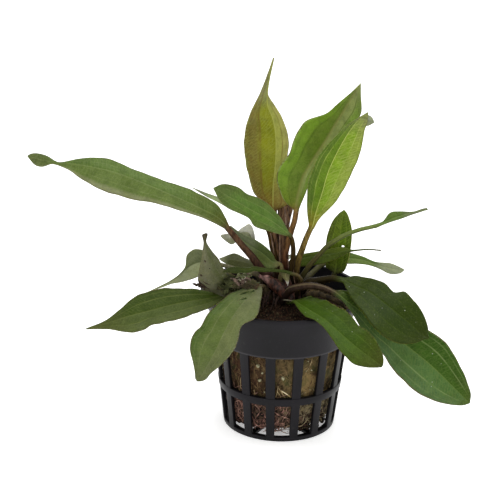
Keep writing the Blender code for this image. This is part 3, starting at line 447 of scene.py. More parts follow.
LOOKS = {
    # leaf_01: its darker left half is partly painted shade, that half being turned away from the light
    "leaf_01": look(
        (106, 98, 40), (148, 150, 78), (154, 160, 76), (130, 136, 76),
        left_in=(120, 126, 22), right_in=(142, 148, 66), vein=(96, 74, 34), base=(104, 78, 28),
        tip=(122, 126, 84), rim=(104, 92, 56), low=(52, 32, 24), high=(70, 44, 26), tone=(0.98, 0.96, 0.98),
        veins=0.8, rungs=0.45, lean=(-0.8, 0.8), ribs=0.7, vein_wide=0.07, bands=(0.3, 0.7),
    ),
    "leaf_02": look(
        (100, 134, 37), (98, 126, 48), (112, 119, 61), (124, 146, 84),
        left_in=(92, 118, 38), right_in=(118, 134, 74), vein=(62, 84, 20), base=(92, 108, 32),
        tip=(110, 122, 76), rim=(92, 80, 58), low=(70, 38, 28), high=(122, 94, 52), tone=(1.04, 1, 1),
        veins=0.7, rungs=0.3, lean=(-0.5, 0.6), ribs=0.7, vein_wide=0.06, rib_wide=0.9, bands=(0.2, 0.9),
    ),
    # leaf_03: the dark outer left band is painted shade cast by the leaf in front, the paler outer right band
    # a painted sheen
    "leaf_03": look(
        (74, 104, 26), (128, 152, 62), (172, 188, 104), (120, 140, 84),
        left_in=(90, 124, 24), right_in=(116, 152, 36), base=(122, 110, 30), tip=(110, 116, 82),
        rim=(116, 122, 66), low=(52, 42, 20), high=(124, 108, 56), tone=(0.96, 0.92, 0.88), veins=0.6,
        rungs=0.6, left_rungs=0.2, lean=(0.8, 1.1), ribs=0.8, rib_wide=0.17, bands=(0.26, 0.86),
    ),
    # leaf_04: the pale outer band of its lower, left margin is a painted sheen
    "leaf_04": look(
        (126, 136, 92), (90, 116, 50), (132, 150, 90), (112, 124, 84),
        left_in=(94, 116, 54), right_in=(88, 114, 50), base=(82, 90, 34), tip=(84, 96, 50),
        low=(58, 38, 30), high=(98, 74, 47), tone=(0.93, 0.89, 0.94), veins=0.3, rungs=0.3, lean=(0.3, 0.3),
        ribs=0.26, bands=(0.24, 0.9), seam=0.78,
    ),
    "leaf_05": look(
        (72, 100, 40), (74, 104, 42), (112, 136, 72), (104, 122, 76),
        left_in=(76, 112, 42), right_in=(76, 112, 44), base=(86, 94, 46), tip=(70, 92, 42),
        low=(24, 21, 10), high=(58, 50, 20), tone=(1.02, 0.93, 0.98), rungs=0.3, ribs=0.32,
    ),
    "leaf_06": look(
        (79, 96, 50), (56, 77, 24), (92, 108, 54), (92, 102, 62),
        left_in=(69, 88, 37), right_in=(56, 77, 21), base=(60, 70, 36), tip=(78, 88, 46), low=(46, 30, 22),
        high=(52, 46, 28), tone=(0.95, 0.88, 0.88), veins=1, ribs=0.55,
    ),
    # leaf_07: the pale base band and the paler left half are partly a painted sheen
    "leaf_07": look(
        (92, 104, 58), (68, 90, 34), (108, 120, 70), (112, 120, 82),
        left_in=(94, 106, 58), right_in=(82, 100, 44), base=(112, 119, 84), tip=(84, 92, 54),
        low=(62, 48, 32), high=(96, 88, 56), tone=(0.98, 0.94, 1.04), veins=0.6, rungs=0.25, ribs=0.3,
        bands=(0.4, 0.86), seam=0.7, specks=0.06, wave=0.35,
    ),
    "leaf_08": look(
        (53, 74, 11), (61, 85, 24), (80, 102, 38), (88, 104, 54),
        left_in=(53, 78, 11), right_in=(65, 91, 28), base=(76, 88, 50), tip=(64, 66, 26), rim=(70, 66, 32),
        tone=(0.92, 0.91, 0.78), veins=0.5, rungs=0.25, bands=(0.2, 0.86), specks=0.3,
    ),
    # leaf_09: the pale bluish right half is a painted sheen
    "leaf_09": look(
        (46, 79, 18), (74, 107, 59), (98, 124, 58), (92, 112, 66),
        left_in=(50, 84, 20), right_in=(70, 105, 51), vein=(116, 142, 82), base=(48, 66, 20),
        tip=(66, 86, 32), low=(42, 27, 21), high=(60, 50, 34), crest=(96, 92, 64), tone=(0.98, 0.91, 0.96),
        veins=0.7, rungs=0.55, left_rungs=0.7, lean=(0.5, 0.5), bands=(0.3, 0.93), specks=0.3, gloss=0.36,
    ),
    # leaf_10: the grey-green base band is a painted sheen, and the dark stalk colours are painted shade
    "leaf_10": look(
        (45, 62, 11), (53, 69, 31), (66, 86, 30), (86, 96, 60),
        left_in=(43, 60, 8), right_in=(44, 62, 17), base=(58, 71, 36), tip=(46, 58, 14), rim=(70, 78, 48),
        low=(41, 30, 17), high=(46, 40, 18), tone=(0.84, 0.83, 0.55), veins=0.6, rungs=0.3, ribs=0.45,
        bands=(0.5, 0.84), specks=0.35, gloss=0.36,
    ),
    "leaf_11": look(
        (52, 62, 21), (52, 68, 18), (92, 110, 44), (62, 76, 40),
        left_in=(61, 75, 21), right_in=(60, 79, 19), base=(46, 54, 20), tip=(56, 70, 24), low=(22, 16, 12),
        high=(30, 28, 18), tone=(1.5, 1.46, 1.3), rungs=0.5, ribs=0.3, bands=(0.3, 0.8), specks=0.3,
    ),
    "leaf_12": look(
        (77, 98, 38), (86, 107, 49), (104, 122, 64), (112, 126, 78),
        base=(82, 98, 44), tip=(96, 100, 76), low=(74, 70, 38), high=(98, 112, 56), rungs=0.1,
        bands=(0.2, 0.6), streaks=0.15,
    ),
    "leaf_13": look(
        (64, 88, 30), (78, 100, 42), (104, 124, 66), (132, 144, 104),
        base=(70, 88, 40), tip=(122, 134, 96), low=(52, 46, 28), high=(70, 74, 38), tone=(1.13, 1.06, 1.21),
        rungs=0.2, ribs=0.3, bands=(0.1, 0.62), streaks=0.3,
    ),
    "leaf_14": look(
        (74, 87, 29), (59, 72, 18), (66, 80, 26), (88, 98, 56),
        base=(60, 68, 24), tip=(66, 66, 40), low=(52, 34, 22), high=(60, 62, 26), tone=(0.98, 0.98, 0.8),
        rungs=0.2, ribs=0.4, bands=(0.1, 0.75),
    ),
    "leaf_15": look(
        (83, 94, 50), (66, 78, 36), (92, 106, 58), (104, 108, 80),
        left_in=(79, 88, 45), base=(78, 84, 50), tip=(102, 108, 82), rim=(104, 112, 80), low=(86, 62, 42),
        high=(112, 102, 66), rungs=0.2, bands=(0.2, 0.5), streaks=0.4,
    ),
    "leaf_16": look(
        (113, 117, 91), (170, 172, 158), (124, 127, 97), (144, 148, 126),
        base=(54, 58, 36), tip=(150, 152, 132), low=(56, 36, 28), high=(70, 66, 44), tone=(1.12, 1.1, 1.12),
        rungs=0.1, ribs=0.3, bands=(0.34, 0.8), wave=0.5, gloss=0.5,
    ),
    "leaf_17": look(
        (112, 124, 82), (110, 120, 84), (120, 126, 92), (122, 134, 92),
        base=(84, 88, 50), tip=(88, 90, 74), low=(40, 26, 10), high=(60, 42, 12), tone=(1.2, 1.2, 1.25),
        rungs=0.1, ribs=0.3,
    ),
    "leaf_18": look(
        (104, 108, 82), (88, 94, 66), (100, 104, 76), (112, 116, 90),
        left_in=(108, 112, 88), right_in=(84, 92, 59), base=(56, 62, 32), tip=(54, 38, 34),
        rim=(84, 66, 48), low=(48, 34, 24), high=(54, 56, 32), tone=(0.93, 0.89, 0.9), rungs=0.3, ribs=0.4,
        bands=(0.56, 0.9), ridge=0.4, specks=0.1, wave=0.6, crumple=0.7, gloss=0.55,
    ),
    "leaf_19": look(
        (131, 136, 105), (94, 100, 69), (122, 128, 94), (134, 138, 112),
        base=(64, 76, 38), tip=(132, 136, 110), low=(96, 76, 58), high=(114, 112, 84), rungs=0.2,
        bands=(0.25, 0.85), streaks=0.4, specks=0.1, wave=0.4, gloss=0.5,
    ),
    "leaf_20": look(
        (57, 60, 27), (82, 84, 62), (100, 102, 76), (98, 100, 78),
        base=(44, 40, 24), tip=(134, 136, 114), low=(40, 26, 20), high=(46, 36, 24), tone=(0.93, 0.93, 0.9),
        rungs=0.2, ribs=0.3, bands=(0.2, 0.88), wave=0.3, gloss=0.5,
    ),
    "leaf_21": look(
        (55, 73, 19), (63, 78, 30), (86, 98, 48), (92, 98, 66),
        base=(66, 74, 36), tip=(56, 66, 30), rim=(118, 122, 88), low=(78, 58, 42), high=(114, 100, 68),
        tone=(0.74, 0.72, 0.62), rungs=0.1, ribs=0.3, streaks=0.4, wave=0.3,
    ),
    "leaf_22": look(
        (66, 90, 30), (70, 94, 34), (100, 116, 62), (104, 118, 76),
        base=(64, 78, 30), tip=(84, 98, 50), veins=0.6, rungs=0.45, specks=0.1, wave=0.35,
    ),
}


# helpers for modelling

ROUTE_STEPS = 3000


def linear(colour):
    """A colour as seen, 0 to 255, as the linear numbers that a shader takes."""
    parts = [c / 255 for c in colour]
    return tuple(c / 12.92 if c <= 0.04045 else ((c + 0.055) / 1.055) ** 2.4 for c in parts)


def deselect():
    bpy.ops.object.select_all(action="DESELECT")


def make_active(obj):
    """Selects this object alone and makes it the active one."""
    deselect()
    obj.select_set(True)
    bpy.context.view_layer.objects.active = obj


def edit(kind):
    bpy.ops.object.mode_set(mode="EDIT")
    bpy.ops.mesh.select_mode(type=kind)


def select_all():
    bpy.ops.mesh.select_all(action="SELECT")


def face_outward():
    """Turns all faces of the mesh in edit mode outward and leaves edit mode."""
    select_all()
    bpy.ops.mesh.normals_make_consistent(inside=False)
    leave_edit()


def leave_edit():
    bpy.ops.object.mode_set(mode="OBJECT")


def pick(obj, kind, wanted):
    """Selects, in edit mode, the faces or edges that pass the test, and nothing else."""
    mesh = bmesh.from_edit_mesh(obj.data)
    parts = getattr(mesh, kind)
    for part in parts:
        part.select_set(False)
    for part in parts:
        if wanted(part):
            part.select_set(True)
    bmesh.update_edit_mesh(obj.data)


def pick_faces(obj, wanted):
    """Selects the faces whose middle, in millimetres, and normal pass the test."""
    pick(obj, "faces", lambda face: wanted(face.calc_center_median() / MM, face.normal))


def pick_edges(obj, wanted):
    """Selects the edges whose two ends, in millimetres, pass the test."""
    pick(obj, "edges", lambda edge: wanted(edge.verts[0].co / MM, edge.verts[1].co / MM))


def apply(obj, name, kind, **settings):
    """Adds a modifier with its settings and applies it."""
    modifier = obj.modifiers.new(name, kind)
    for key, value in settings.items():
        setattr(modifier, key, value)
    bpy.context.view_layer.objects.active = obj
    bpy.ops.object.modifier_apply(modifier=name)


def start(name):
    """Names the primitive that was just added and gives it a mesh name of its own."""
    obj = bpy.context.object
    obj.name = name
    obj.data.name = name
    return obj


def settle(obj, angle=None):
    """Puts the object's place into its mesh and shades it smooth, up to this angle where one is given."""
    make_active(obj)
    bpy.ops.object.transform_apply(location=True, rotation=True, scale=True)
    if angle is None:
        bpy.ops.object.shade_smooth()
    else:
        bpy.ops.object.shade_smooth_by_angle(angle=math.radians(angle))


def finish_piece(obj, slot, finish, *nodes):
    """Gives a piece its material and hides the solids that it stands for; the slot is not used."""
    obj.data.materials.clear()
    obj.data.materials.append(finish)
    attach(obj, "root")
    if nodes:
        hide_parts(*nodes)
    return obj


def unit(vectors):
    return vectors / np.maximum(np.linalg.norm(vectors, axis=-1, keepdims=True), 1e-12)


def smooth(values, shares):
    """A smooth curve through evenly spaced values, read at shares of its length."""
    values = np.asarray(values, float).reshape(len(values), -1)
    ends = 2 * values[:1] - values[1:2], values, 2 * values[-1:] - values[-2:-1]
    before, start_at, stop_at, after = (np.vstack(ends)[k : k + len(values) - 1] for k in range(4))
    place = np.clip(np.asarray(shares) * (len(values) - 1), 0, len(values) - 1.000001)
    k = place.astype(int)
    f = (place - k)[:, None]
    slope = stop_at[k] - before[k]
    bend = 2 * before[k] - 5 * start_at[k] + 4 * stop_at[k] - after[k]
    rest = 3 * start_at[k] - before[k] - 3 * stop_at[k] + after[k]
    return start_at[k] + f / 2 * (slope + f * (bend + f * rest))


def along(route, shares):
    """Points of the smooth route at shares of its real length."""
    fine = smooth(route, np.linspace(0, 1, ROUTE_STEPS))
    steps = np.linalg.norm(np.diff(fine, axis=0), axis=1)
    length = np.concatenate([[0], np.cumsum(steps)])
    return np.stack([np.interp(shares, length / length[-1], fine[:, k]) for k in range(3)], axis=1)


def ramp(values, low, high):
    """0 below low, 1 above high and a soft rise between."""
    t = np.clip((values - low) / (high - low), 0, 1)
    return t * t * (3 - 2 * t)


def read_off(table, values):
    """What the table gives at these values, evenly between its rows."""
    return np.interp(values, list(table), list(table.values()))


def on_cylinder(turn, radius, height):
    turn = math.radians(turn)
    return (radius * math.cos(turn), radius * math.sin(turn), height)


# helpers for materials


class Finish:
    """A material put together from nodes round one Principled shader."""

    def __init__(self, name):
        self.material = bpy.data.materials.new(name)
        self.material.use_nodes = True
        self.tree = self.material.node_tree
        self.shader = self.tree.nodes["Principled BSDF"]
        self.place = self.node("ShaderNodeTexCoord").outputs["Object"]

    def node(self, kind, **settings):
        made = self.tree.nodes.new(kind)
        for key, value in settings.items():
            setattr(made, key, value)
        return made

    def feed(self, sockets, *values):
        """Links each value that is a socket to its input and writes the others into it."""
        for socket, value in zip(sockets, values):
            if isinstance(value, bpy.types.NodeSocket):
                self.tree.links.new(value, socket)
            else:
                socket.default_value = value

    def axis(self, number):
        """The place along one axis in millimetres: 0 across, 1 deep, 2 up."""
        parts = self.node("ShaderNodeSeparateXYZ")
        self.feed(parts.inputs, self.place)
        return self.reckon("DIVIDE", parts.outputs[number], MM)

    def join(self, *parts):
        made = self.node("ShaderNodeCombineXYZ")
        self.feed(made.inputs, *parts)
        return made.outputs[0]

    def read(self, name):
        return self.node("ShaderNodeAttribute", attribute_name=name).outputs["Fac"]

    def reckon(self, operation, *values):
        made = self.node("ShaderNodeMath", operation=operation)
        self.feed(made.inputs, *values)
        return made.outputs[0]

    def plus(self, first, second):
        return self.reckon("ADD", first, second)

    def less(self, first, second):
        return self.reckon("SUBTRACT", first, second)

    def times(self, first, second):
        return self.reckon("MULTIPLY", first, second)

    def size(self, value):
        return self.reckon("ABSOLUTE", value)

    def rise(self, value, low, high, first=0.0, last=1.0):
        """A soft step from first to last while the value goes from low to high."""
        made = self.node("ShaderNodeMapRange", interpolation_type="SMOOTHSTEP")
        self.feed(made.inputs, value, low, high, first, last)
        return made.outputs[0]

    def mix(self, share, first, second, blend="MIX"):
        """This share of the second colour over the first."""
        made = self.node("ShaderNodeMix", data_type="RGBA", blend_type=blend)
        colours = ((*linear(c), 1) if isinstance(c, tuple) else c for c in (first, second))
        self.feed((made.inputs[0], made.inputs[6], made.inputs[7]), share, *colours)
        return made.outputs[2]

    def noise(self, size, detail=3, stretch=(1, 1, 1), rough=0.5):
        """Cloudy noise with patches of about this size in millimetres."""
        turned = self.node("ShaderNodeMapping")
        self.feed([turned.inputs["Vector"]], self.place)
        turned.inputs["Scale"].default_value = stretch
        made = self.node("ShaderNodeTexNoise")
        self.feed([made.inputs["Vector"]], turned.outputs[0])
        made.inputs["Scale"].default_value = 1 / (size * MM)
        made.inputs["Detail"].default_value = detail
        made.inputs["Roughness"].default_value = rough
        return made.outputs["Fac"]

    def cells(self, place, size, spread, feature="F1"):
        """Distance to the nearest of scattered points, or to the walls between their cells."""
        made = self.node("ShaderNodeTexVoronoi", feature=feature)
        self.feed([made.inputs["Vector"]], place)
        made.inputs["Scale"].default_value = 1 / size
        made.inputs["Randomness"].default_value = spread
        return made.outputs["Distance"]

    def relief(self, height, depth):
        """Lets the height raise or sink the surface by this depth in millimetres."""
        made = self.node("ShaderNodeBump")
        made.inputs["Strength"].default_value = 1.0
        made.inputs["Distance"].default_value = depth * MM
        self.feed([made.inputs["Height"]], height)
        self.tree.links.new(made.outputs[0], self.shader.inputs["Normal"])

    def surface(self, colour, roughness, **fixed):
        self.feed([self.shader.inputs["Base Color"], self.shader.inputs["Roughness"]], colour, roughness)
        for key, value in fixed.items():
            self.shader.inputs[key.replace("_", " ")].default_value = value
        return self.material


# leaves

# columns from edge to edge on each side of a leaf, rings from crown to tip, and how they crowd at the tip
ACROSS = 32
RINGS = 170
RING_CROWDING = 1.2
MERGE_WITHIN = 0.0000002

# blade: half its thickness, what a thin tip has on top, its narrowest and widest half, and its sag
BLADE_HALF = 0.19
TIP_SPINE = 0.28
NARROWEST = 0.05
WIDEST = 14
SAG = 0.05

# midrib: how far it stands out below and above, its half width, and the groove along it
RIB_BELOW = 0.5
RIB_ABOVE = 0.12
RIB_HALF = 0.75
GROOVE_DEPTH = 0.22
GROOVE_HALF = 0.45

# stalk: how much thicker it is at the crown, as pairs of a share and the length in which it fades
FOOT_SWELL = ((0.7, 3), (0.5, 9))

# relief of the blade: ripples of the edge, slow swell, puffed skin between the veins
RIPPLE_LENGTH = 11
RIPPLE_LAG = 2.1
SWELL = 0.2
SWELL_LENGTH = 6
PUFF = 0.05
PUCKER_SPACING = 4.2
PUCKER_LEAN = 0.8
RUNG_SPACING = 1.35
SIDE_VEINS = (0.5, 0.8)
VEIN_DIP = 0.12

# how finely a traced edge is followed, and how many of its last samples are left as traced
EDGE_SAMPLES = 81
EDGE_CROWDING = 1.4
TIP_SAMPLES = 8
AHEAD_STEP = 0.004

# where the camera of the photograph stood: the point it looks at, its distance, tilt, roll and scale
AIM = (-11.8, 65.1)
DISTANCE = 700
LOOK_DOWN = math.radians(20.9)
ROLL = math.radians(1.25)
PIXEL = 0.354
PHOTO_MIDDLE = 250


def in_photo(points):
    """Places in the photograph, in its pixels, of points given in millimetres."""
    x, y, z = (points - (AIM[0], 0, AIM[1])).T
    deep = DISTANCE + y * math.cos(LOOK_DOWN) - z * math.sin(LOOK_DOWN)
    scale = DISTANCE / PIXEL / deep
    across, down = scale * x, -scale * (y * math.sin(LOOK_DOWN) + z * math.cos(LOOK_DOWN))
    turned_x = across * math.cos(ROLL) - down * math.sin(ROLL)
    turned_y = across * math.sin(ROLL) + down * math.cos(ROLL)
    return np.stack([turned_x, turned_y], axis=1) + PHOTO_MIDDLE


def reach_to_edge(start_at, heading, line):
    """How far from a point of the photograph, along a heading in pixels per millimetre, the edge lies."""
    first, step = line[:-1], np.diff(line, axis=0)
    cross = heading[0] * step[:, 1] - heading[1] * step[:, 0]
    cross = np.where(np.abs(cross) < 1e-9, 1e-9, cross)
    gap = first - start_at
    far = (gap[:, 0] * step[:, 1] - gap[:, 1] * step[:, 0]) / cross
    spot = (gap[:, 0] * heading[1] - gap[:, 1] * heading[0]) / cross
    met = (spot > -0.01) & (spot < 1.01) & (far > 0)
    return far[met].min() if met.any() else math.nan


def half_widths(leaf, edge, sign, places):
    """Half widths of one side at places from 0, the blade's start, to 1, its tip."""
    if not isinstance(edge, list):
        return smooth(edge, places)[:, 0]
    samples = 1 - (1 - np.linspace(0, 1, EDGE_SAMPLES)) ** EDGE_CROWDING
    centre, up, right = leaf_frame(leaf, leaf.blade + (1 - leaf.blade) * samples)
    fold = math.radians(leaf.fold)
    out = sign * right * math.cos(fold) + up * (math.sin(fold) - SAG)
    line = smooth(edge, np.linspace(0, 1, 3 * (EDGE_SAMPLES - 1)))
    seen, heading = in_photo(centre), in_photo(centre + out) - in_photo(centre)
    found = np.array([reach_to_edge(a, b, line) for a, b in zip(seen, heading)])
    found[0], found[-1] = leaf.stalk[1], 0
    good = ~np.isnan(found) & (found < WIDEST)
    found = np.interp(samples, samples[good], found[good])
    middle = np.median(np.stack([found[:-2], found[1:-1], found[2:]]), axis=0)
    found[2:-TIP_SAMPLES] = middle[1 : 1 - TIP_SAMPLES]
    for _ in range(2):
        before, after = found[: -TIP_SAMPLES - 1], found[2 : 1 - TIP_SAMPLES]
        found[1:-TIP_SAMPLES] = (before + 2 * found[1:-TIP_SAMPLES] + after) / 4
    return np.interp(places, samples, found)


def directions(face, shares):
    turn, rise = np.radians(np.array(face, float)).T
    flat = np.cos(rise)
    return unit(smooth(np.stack([flat * np.cos(turn), flat * np.sin(turn), np.sin(rise)], axis=1), shares))


def leaf_route(leaf):
    radius, turn, height = leaf.base
    return [on_cylinder(turn, radius, height)] + leaf.route


def leaf_frame(leaf, shares):
    """Midrib points, directions up from the blade and directions to its right."""
    route = leaf_route(leaf)
    before, after = (along(route, np.clip(shares + step, 0, 1)) for step in (-AHEAD_STEP, AHEAD_STEP))
    ahead = unit(after - before)
    up = directions(leaf.face, shares)
    up = unit(up - (up * ahead).sum(axis=1, keepdims=True) * ahead)
    return along(route, shares), up, np.cross(ahead, up)


def route_length(leaf):
    points = along(leaf_route(leaf), np.linspace(0, 1, 400))
    return float(np.linalg.norm(np.diff(points, axis=0), axis=1).sum())


def blade_waves(look, seed, across, side, width, blade_mm, in_blade):
    """How far ripples of the edge, slow swell, puffed skin and dents raise each point of a blade."""
    edge = np.abs(across)
    blade_on = ramp(in_blade, 0, 0.12) * (1 - ramp(in_blade, 0.93, 1.0))
    beat = 2 * math.pi * blade_mm / (RIPPLE_LENGTH + seed % 5) + (across > 0) * RIPPLE_LAG + seed
    beats = np.sin(beat) + 0.5 * np.sin(2.3 * beat + seed)
    ripple = look.wave * blade_on * edge**2.5 * beats * np.clip(width / 6, 0.2, 1.2)
    swell = SWELL * look.wave * blade_on * np.sin(blade_mm / SWELL_LENGTH + 1.7 * side / 5 + seed) * edge
    pucker = (blade_mm - PUCKER_LEAN * np.abs(side) + 0.8 * np.sin(side / 1.9 + seed)) / PUCKER_SPACING
    pillow = np.abs(np.sin(math.pi * (pucker + 0.5 * (side > 0)))) ** 0.7
    between = np.ones_like(side)
    for vein in SIDE_VEINS:
        between *= ramp(np.abs(edge - vein), 0.0, VEIN_DIP)
    between *= ramp(edge, 0.02, 0.16)
    puff = PUFF * pillow * between * blade_on * np.clip(width / 7, 0.2, 1)
    dents = np.sin(blade_mm / 1.3 + 1.1 * side + seed) * np.sin(side / 1.1 - blade_mm / 2.9)
    return ripple, swell, puff, look.crumple * dents * blade_on * (1 - 0.8 * in_blade)


def leaf_surface(leaf, look, seed, turn, share):
    """Places, in millimetres, of leaf points: turn runs once round the leaf, share from crown to tip."""
    length = route_length(leaf)
    from_left = 1 - np.abs(4 * turn - 2)
    across = 0.7 * from_left + 0.3 * from_left**3
    edge = np.abs(across)
    under = turn > 0.5
    shares = np.unique(share)
    row = np.searchsorted(shares, share)
    centre, up, right = (values[row] for values in leaf_frame(leaf, shares))
    in_blade = np.clip((share - leaf.blade) / (1 - leaf.blade), 0, 1)
    blade_mm, crown_mm = (share - leaf.blade) * length, share * length

    # the stalk swells towards the crown and runs out in the blade
    thin = leaf.stalk[0] + (leaf.stalk[1] - leaf.stalk[0]) * np.clip(share / leaf.blade, 0, 1)
    (most, soon), (rest, late) = FOOT_SWELL
    narrow = thin * (1 + most * np.exp(-crown_mm / soon) + rest * np.exp(-crown_mm / late))
    halves = [half_widths(leaf, leaf.left, -1, in_blade), half_widths(leaf, leaf.right, 1, in_blade)]
    width = np.where(across < 0, *halves)
    width = np.where(in_blade > 0, np.maximum(width, np.maximum(thin * (1 - in_blade), NARROWEST)), narrow)
    side = across * width

    # the sheet of the blade: both halves rise from the midrib, sag a little and wave
    flat = ramp(in_blade, -0.02, 0.15)
    fold = math.radians(leaf.fold)
    sheet = width * edge**1.25 * math.sin(fold) * flat - SAG * width * edge**2 * flat
    for wave in blade_waves(look, seed, across, side, width, blade_mm, in_blade):
        sheet = sheet + wave

    # the two skins: round on the stalk, thin on the blade, with the midrib and its groove
    round_off = np.sqrt(np.clip(1 - across**2, 0, 1))
    leaf_half = BLADE_HALF * (1 - 0.25 * in_blade) * np.sqrt(np.clip(1 - across**6, 0, 1))
    leaf_half += TIP_SPINE * np.clip(1 - width / 2.2, 0, 1) * np.clip(width / 0.5, 0, 1) * round_off
    rib = np.exp(-((side / RIB_HALF) ** 2)) * (1 - 0.8 * in_blade)
    groove = GROOVE_DEPTH * np.exp(-((side / GROOVE_HALF) ** 2)) * (1 - 0.6 * in_blade) * flat
    inside = 1 - across**4
    top = thin * 0.8 * round_off * (1 - flat) + (leaf_half + (RIB_ABOVE * rib - groove) * inside) * flat
    bottom = -thin * round_off * (1 - flat) - (leaf_half + RIB_BELOW * rib * inside) * flat
    height = sheet + np.where(under, bottom, top)
    spread = side * (1 - flat * (1 - math.cos(fold)))
    places = centre + right * spread[:, None] + up * height[:, None]
    ends = (share < 1e-6) | (share > 1 - 1e-6)
    places[ends] = centre[ends]
    marks = {"across": across, "side": side, "blade_mm": blade_mm, "reach": in_blade, "crown_mm": crown_mm}
    marks["under"] = under.astype(float)
    return places, marks


def roll_leaf(name, leaf, look, seed, across=ACROSS, rings=RINGS):
    """A flat grid rolled into a closed tube along the leaf's route, round at first and flat in the blade."""
    deselect()
    bpy.ops.mesh.primitive_grid_add(x_subdivisions=2 * across, y_subdivisions=rings, size=1)
    obj = start(name)
    grid = np.empty(len(obj.data.vertices) * 3)
    obj.data.vertices.foreach_get("co", grid)
    grid = grid.reshape(-1, 3) + 0.5
    turn = np.round(grid[:, 0] * 2 * across) / (2 * across)
    share = 1 - (1 - np.round(grid[:, 1] * rings) / rings) ** RING_CROWDING
    places, marks = leaf_surface(leaf, look, seed, turn, share)
    obj.data.vertices.foreach_set("co", (places * MM).ravel())
    for key, values in marks.items():
        obj.data.attributes.new(key, "FLOAT", "POINT").data.foreach_set("value", values)
    edit("VERT")
    select_all()
    bpy.ops.mesh.remove_doubles(threshold=MERGE_WITHIN)
    face_outward()
    settle(obj)
    return obj


# colours that all leaves share: light and shade in patches, dark and pale grain, streaks, grime and painted
# shade at the stalk's foot, painted shadow under and along the stalk, and specks
CLOUD_LIGHT = (150, 158, 84)
PATCH_SHADE = (28, 42, 12)
GRAIN_DARK = (22, 34, 9)
GRAIN_PALE = (190, 200, 130)
STALK_STREAK = (26, 15, 10)
STALK_FOOT_GRIME_AND_SHADE = (17, 10, 8)
STALK_SHADOW = (14, 9, 7)
PALE_SPECK = (178, 184, 168)


def leaf_rungs(skin, look, at):
    """Fine rungs that climb outward from the midrib, crossed by a finer net, clear in patches."""
    climb = skin.plus(skin.times(at.right, look.lean[1] - look.lean[0]), look.lean[0])
    leant = skin.less(at.blade, skin.times(at.off, climb))
    wander = skin.times(skin.noise(2.6, 2), 1.5)
    steps = skin.reckon("DIVIDE", skin.plus(leant, wander), RUNG_SPACING)
    steps = skin.plus(steps, skin.times(skin.reckon("GREATER_THAN", at.side, 0.0), 0.5))
    rung = skin.rise(skin.reckon("PINGPONG", steps, 0.5), 0.0, 0.13, 1.0, 0.0)
    rung = skin.times(rung, skin.rise(skin.noise(3.5, 2), 0.38, 0.6, 0.05, 1.0))
    mesh_place = skin.join(skin.times(at.side, 0.42), skin.reckon("DIVIDE", leant, 1.1), 0.0)
    mesh_line = skin.rise(skin.cells(mesh_place, 1, 0.8, "DISTANCE_TO_EDGE"), 0.0, 0.1, 0.55, 0.0)
    rung = skin.reckon("MAXIMUM", rung, mesh_line)
    rung = skin.times(rung, skin.rise(at.edge, 0.86, 0.98, 1.0, 0.0))
    at_left = look.rungs * look.left_rungs
    clear = skin.plus(skin.times(at.right, look.rungs * (1 - look.left_rungs)), at_left)
    return skin.times(skin.times(rung, at.on_blade), clear)


def long_veins(skin, look, at):
    """The side veins that run the length of the blade, the inner pair clearer than the outer."""
    veins = 0.0
    for place, strong in zip(SIDE_VEINS, (1.0, 0.5)):
        line = skin.rise(skin.size(skin.less(at.edge, place)), 0.008, look.vein_wide, strong, 0.0)
        veins = skin.reckon("MAXIMUM", veins, line)
    veins = skin.times(veins, skin.rise(skin.noise(5, 1), 0.3, 0.6, 0.3, 1.0))
    veins = skin.times(veins, skin.rise(at.reach, 0.86, 1.0, look.veins, 0.0))
    return skin.times(veins, at.on_blade)


def stalk_colour(skin, look, at):
    """Ruddy stalk: streaked, with grime and painted shade at its foot, painted shade underneath and along its
    sides, and a painted highlight along its top on some leaves.
    """
    streaks = skin.noise(0.8, 3, stretch=(1, 1, 0.3))
    # the stalk runs darker towards the crown, partly as painted shade
    stalk = skin.mix(skin.rise(at.blade, -26.0, -4.0), look.low, look.high)
    stalk = skin.mix(skin.rise(streaks, 0.35, 0.7, 0.0, look.streaks), stalk, STALK_STREAK)
    # grime and painted shade at the stalk's foot, where the stalks crowd into the crown
    stalk = skin.mix(skin.rise(skin.read("crown_mm"), 1.0, 11.0, 0.8, 0.0), stalk, STALK_FOOT_GRIME_AND_SHADE)
    # painted shade: the stalk darkened underneath and towards its sides
    lower = skin.reckon("MAXIMUM", skin.times(at.under, 0.45), skin.rise(at.edge, 0.5, 0.95, 0.0, 0.4))
    stalk = skin.mix(lower, stalk, STALK_SHADOW)
    # painted highlight: a paler line along the top of the stalk
    if look.crest:
        crest = skin.times(skin.rise(at.edge, 0.14, 0.36, 0.6, 0.0), skin.less(1.0, at.under))
        stalk = skin.mix(crest, stalk, look.crest)
    return stalk


